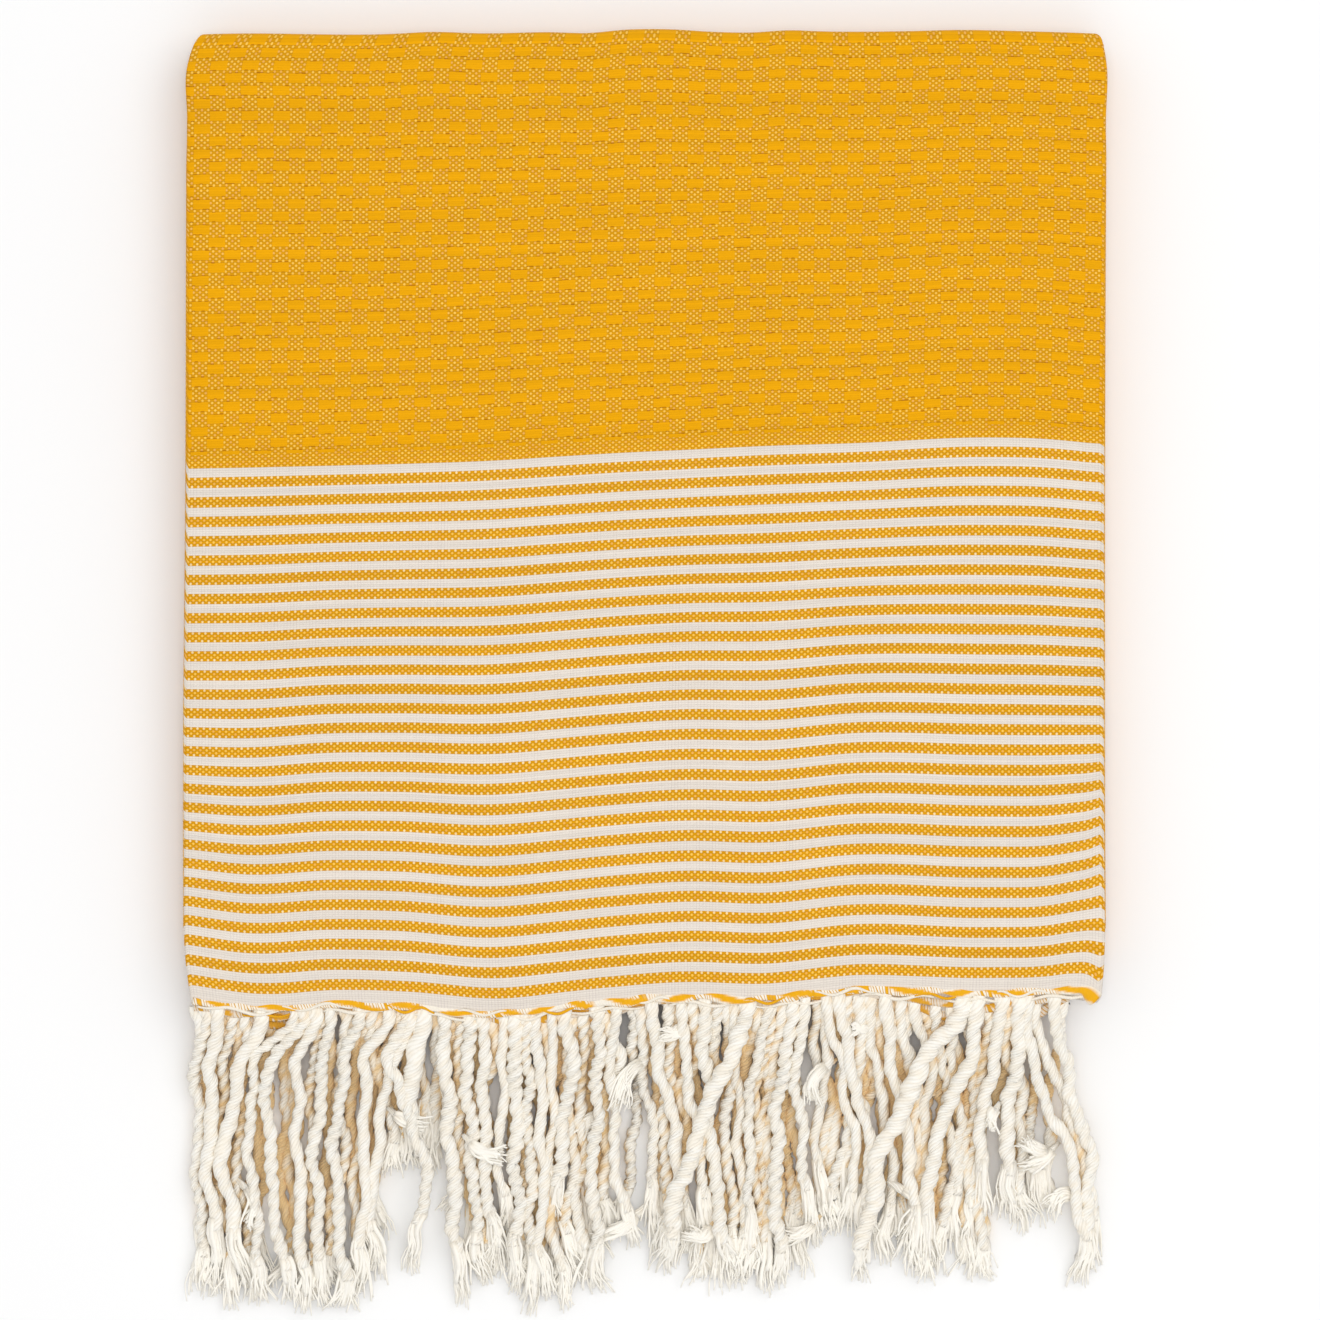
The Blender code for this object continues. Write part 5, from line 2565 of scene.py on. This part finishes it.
    def places(
        self, wanted: list[float], drawn: list[bool], taken: list[float], width: float
    ) -> list[float]:
        """Places of this layer's cords on one line across the fringe.

        Args:
            wanted: Where each cord would lie.
            drawn: Whether its course is drawn, so that it stays.
            taken: Places of the cords over this layer.
            width: Least room for a cord.

        Returns:
            The places. Cords that aren't drawn lie apart from each other, out from under
            the cords over them.
        """
        fixed = [x for x, is_drawn in zip(wanted, drawn) if is_drawn]
        walls = [*taken, *fixed]
        loose = [
            seek_gap(x, walls, width, self.most_shift, self.fill_edge)
            for x, is_drawn in zip(wanted, drawn)
            if not is_drawn
        ]
        moved = iter(spread(loose, self.squeeze[self.ply.value] * width))
        return [x if is_drawn else next(moved) for x, is_drawn in zip(wanted, drawn)]

    def stray(self, line: Array, random: np.random.Generator) -> Array:
        """Let a course stray a little from side to side.

        Args:
            line: The course.
            random: Source of its wobble.

        Returns:
            The strayed course.
        """
        run = run_along(line)
        _, sideways, _ = frames_along(line)
        window = smooth_step(*self.stray_from, run)
        off = np.zeros(len(run))
        for wavelength, reach in self.strays:
            phase = random.uniform(0, 2 * math.pi)
            length = wavelength * random.uniform(*self.stray_lengths)
            off += reach * np.sin(2 * math.pi * run / length + phase)
        return line + sideways * (off * window)[:, None]

    def flung(self) -> list[CordRun]:
        """The open ends that were flung across this layer, with a short stretch of cord.

        Returns:
            Their courses.
        """
        runs = []
        for number, flyer in enumerate(FLYERS):
            half = (flyer.high + flyer.low) / 2 + self.flung_rise
            knots = [
                (flyer.x0, flyer.y0, flyer.high - self.flung_drop),
                (flyer.x1, flyer.y1, half),
                (flyer.x2, flyer.y2, flyer.low),
            ]
            line = smooth_course(np.array(knots), self.shape.step)
            cut = max(3, len(line) // 4)
            runs.append(
                CordRun(
                    twisted=line[: cut + 1],
                    tuft=line[cut:],
                    number=FLUNG_NUMBER + number,
                    scale=self.flung_scale,
                    fan=flyer.fan,
                    rest=flyer.low,
                )
            )
        return runs

    def add_cord(self, draft: MeshDraft, cord: CordRun, cover: Cover) -> None:
        """Add the twisted part of a cord.

        Args:
            draft: The layer's mesh.
            cord: The cord.
            cover: Heights of the whole fringe.
        """
        shape = self.shape
        random = np.random.default_rng(cord.number + CORD_SEED)
        run = run_along(cord.twisted)
        full = run[-1]
        slack = random.uniform(0, 1)
        offset = shape.tight_offset + slack * (shape.loose_offset - shape.tight_offset)
        pitch = shape.pitch * (1 + shape.slack_pitch * slack) * random.uniform(*shape.pitches)
        knots = np.linspace(0, full, max(5, int(full / shape.pace_knots)))
        pace = 2 * math.pi / pitch * uneven(random, knots, shape.paces, run)
        pace = pace * smooth_step(*shape.untwisted, run)
        turn = random.uniform(0, 2 * math.pi) - np.cumsum(pace) * shape.step
        angle = ring_angles(shape.sides)[None] + turn[:, None]
        knots = np.linspace(0, full, max(6, int(full / shape.slub_knots)))
        slubs = uneven(random, knots, shape.slubs, run)
        head = shape.head if cord.rest == 0 else self.flung_head
        start = head + (1 - head) * smooth_step(0, shape.head_length, run)
        stop = 1 - shape.neck * smooth_step(full - shape.neck_length, full, run)
        profile = shape.skin(offset)
        skin = profile[None] * (cord.scale * slubs * start * stop)[:, None]
        skin = skin * (1 + random.normal(0, shape.fluff / shape.size, skin.shape))
        flat = 1 - smooth_step(0, shape.flat_length, run)[:, None]
        width = skin * (1 + self.head_spread[self.ply.value] * flat)
        outline = round_outline(angle, width, skin * (1 - shape.flat_head * flat))
        # Painted shade: darker where the cord lies under others, and in the grooves between its
        # two plies.
        groove = 1 - (profile - profile.min()) / np.ptp(profile)
        depth = cover.depth(skin_points(cord.twisted, outline))
        buried = np.clip(depth + shape.groove_shade * groove[None] ** 2, 0, 1)
        places = tube_places(run, shape.sides)
        draft.add_tube(cord.twisted, outline, places, buried=buried, loose=0.0)

    def make(self, name: str, runs: list[CordRun], cover: Cover) -> Piece:
        """Make a piece of cords and their open ends.

        Args:
            name: The piece's name.
            runs: The courses of its cords.
            cover: Heights of the whole fringe.

        Returns:
            The piece.
        """
        draft = MeshDraft()
        open_end = OpenEnd(self.tuft_yarns[self.ply.value])
        for cord in runs:
            self.add_cord(draft, cord, cover)
            open_end.add(draft, cord, cover)
        piece = draft.build(name, self.finish.make())
        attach(piece, "root")
        return piece

    def build(self, runs: list[CordRun], cover: Cover) -> Piece:
        """Make the layer.

        Args:
            runs: The courses of its cords.
            cover: Heights of the whole fringe.

        Returns:
            The piece.
        """
        piece = self.make(f"fringe_{self.layer}_cords", runs, cover)
        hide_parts(f"fringe_front_{self.layer}")
        return piece


@dataclass
class HiddenFringe:
    """The rear hem's fringe, which lies flat under the stack."""

    folding: Folding
    finish: TwistedCotton
    shape: CordShape
    count: int = 20
    end_root: float = 10.0
    length: float = 104.0
    seam: float = 0.4
    strip: float = 4.0
    opening: float = 7.0
    height: float = 1.75
    # painted shade on the hidden cords, a fixed share of tan
    painted_shade_depth: float = 0.3
    step: float = 2.4
    stray: float = 8.0
    sewn: float = 0.3             # how far the cords start inside the hem
    slim: float = 0.5             # their thickness, as a share of a front cord's
    fuller: float = 0.18          # and how much they gain on it further out
    fuller_length: float = 10.0

    def build(self, name: str, ply: Ply) -> Piece:
        """Make one ply's cords.

        Args:
            name: Which of the three it is, counted upward from the floor.
            ply: The ply that carries it.

        Returns:
            The piece.
        """
        folding = self.folding
        shape = self.shape
        pitch = (folding.width - 2 * self.end_root) / self.count
        first = -folding.width / 2 + self.end_root + pitch * (ply.value + 0.5) / 3
        hem_y = folding.rear_hem - self.seam - self.strip
        draft = MeshDraft()
        for number in range(self.count):
            root = first + pitch * number
            length = self.length + wander(number * 3 + ply.value, self.stray)
            start = folding.point(root, folding.ply_rise(ply), folding.length() + self.sewn)
            knots = np.array([
                start,
                (root, hem_y - self.opening, self.height),
                (root, hem_y - length / 2, self.height),
                (root, hem_y - length, self.height),
            ])
            line = smooth_course(knots, self.step)
            run = run_along(line)
            turn = number - 2 * math.pi * run / shape.pitch
            angle = ring_angles(shape.sides)[None] + turn[:, None]
            thin = self.slim + self.fuller * smooth_step(0, self.fuller_length, run)
            skin = shape.skin(shape.tight_offset)[None] * thin[:, None]
            outline = round_outline(angle, skin, skin)
            places = tube_places(run, shape.sides)
            draft.add_tube(line, outline, places, buried=self.painted_shade_depth, loose=0.0)
        piece = draft.build(f"fringe_rear_{name}_cords", self.finish.make())
        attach(piece, "root")
        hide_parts(f"fringe_rear_{name}")
        return piece


# ---- floor, light and camera ----


class Lamp(NamedTuple):
    """A soft square light: its place and side in metres, and its power in watts."""

    name: str
    x: float
    y: float
    z: float
    size: float
    power: float


LAMPS = table(
    Lamp,
    ("key", 0.8, 0.5, 1.9, 1.4, 9.5),
    ("fill", -1.2, 0.3, 1.7, 2.0, 2.5),
    ("front", 0.2, -1.3, 1.6, 1.6, 4.5),
    ("above", 0.0, 0.0, 2.6, 0.7, 13.0),
)


@dataclass
class Studio:
    """A pale floor under soft light, with a camera straight above."""

    ground: PaleGround
    floor_size: float = 6.0
    lens: float = 150.0
    sensor: float = 36.0
    view_width: float = 0.478          # of the photograph, at the towel's face
    face_height: float = 0.025
    view_centre: tuple = (0.0052, 0.0037)
    ambient: float = 0.64

    def lay_floor(self) -> None:
        """Lay the floor under the towel."""
        half = self.floor_size / 2
        corners = [(-half, -half, 0), (half, -half, 0), (half, half, 0), (-half, half, 0)]
        mesh = bpy.data.meshes.new("floor")
        mesh.from_pydata(corners, [], [(0, 1, 2, 3)])
        mesh.materials.append(self.ground.make())
        floor = bpy.data.objects.new("floor", mesh)
        bpy.context.scene.collection.objects.link(floor)

    def hang_light(self, lamp: Lamp) -> None:
        """Hang a soft square light that faces the towel.

        Args:
            lamp: The light.
        """
        light = bpy.data.lights.new(lamp.name, "AREA")
        light.shape = "SQUARE"
        light.size = lamp.size
        light.energy = lamp.power
        held = bpy.data.objects.new(lamp.name, light)
        held.location = (lamp.x, lamp.y, lamp.z)
        tilt = math.atan2(math.hypot(lamp.x, lamp.y), lamp.z)
        held.rotation_euler = (tilt, 0.0, math.atan2(lamp.x, -lamp.y))
        bpy.context.scene.collection.objects.link(held)

    def set_ambient(self) -> None:
        """Light everything evenly from all round."""
        world = bpy.data.worlds.new("studio")
        world.use_nodes = True
        background = world.node_tree.nodes["Background"]
        background.inputs["Color"].default_value = (1.0, 1.0, 1.0, 1.0)
        background.inputs["Strength"].default_value = self.ambient
        bpy.context.scene.world = world

    def place_camera(self) -> None:
        """Look straight down on the towel, framed as the photograph is."""
        data = bpy.data.cameras.new("camera")
        data.lens = self.lens
        data.sensor_width = self.sensor
        camera = bpy.data.objects.new("camera", data)
        distance = self.view_width * self.lens / self.sensor
        camera.location = (*self.view_centre, self.face_height + distance)
        bpy.context.scene.collection.objects.link(camera)
        bpy.context.scene.camera = camera

    def build(self) -> None:
        """Set up the whole studio."""
        self.lay_floor()
        for lamp in LAMPS:
            self.hang_light(lamp)
        self.set_ambient()
        self.place_camera()
        bpy.context.scene.view_settings.view_transform = "Standard"


@dataclass
class Towel:
    """The whole folded towel."""

    folding: Folding
    weave: Weave

    def build(self) -> list[Piece]:
        """Build every piece in order.

        Returns:
            The pieces.
        """
        cotton = cotton_group()
        woven = WovenCotton(self.weave, self.folding.length(), plain_weave_group(), cotton)
        hem_yarn = HemYarn(cotton)
        cord_finish = TwistedCotton(cotton)

        cloth = WovenSheet(self.folding, self.weave, woven)
        sheet = cloth.build()
        trims = [RolledHem(self.folding, ply, hem_yarn).build() for ply in Ply]

        layers = [
            FringeLayer(self.folding, name, ply, cord_finish, shape)
            for name, ply, shape in (
                ("top", Ply.FACE, CordShape(sides=14)),
                ("mid", Ply.MIDDLE, CordShape(sides=14, step=1.25)),
                ("low", Ply.UNDER, CordShape(sides=12, step=1.5)),
            )
        ]
        all_runs = []
        above = bare_places()
        for layer in layers:
            runs, above = layer.lay_out(above)
            all_runs.append(runs)
        cover = Cover()
        for runs in all_runs:
            for cord in runs:
                cover.lay(cord.twisted)
                cover.lay(cord.tuft)
        cover.finish()
        trims += [layer.build(runs, cover) for layer, runs in zip(layers, all_runs)]
        face = layers[0]
        trims.append(face.make("fringe_flung_ends", face.flung(), cover))

        hidden = HiddenFringe(self.folding, cord_finish, CordShape(sides=8))
        for name, ply in (("top", Ply.UNDER), ("mid", Ply.MIDDLE), ("low", Ply.FACE)):
            trims.append(hidden.build(name, ply))
        flat = (cloth.flat_width(), self.folding.length() * MILLIMETRE)
        return [sheet, *trims]


def main() -> None:
    """Build the towel and its studio."""
    logging.basicConfig(level=logging.INFO, format="%(name)s: %(message)s")
    for piece in Towel(Folding(), Weave()).build():
        log.info("%s: %d triangles", piece.name, triangle_count(piece))
    Studio(PaleGround()).build()


if __name__ == "__main__":
    main()
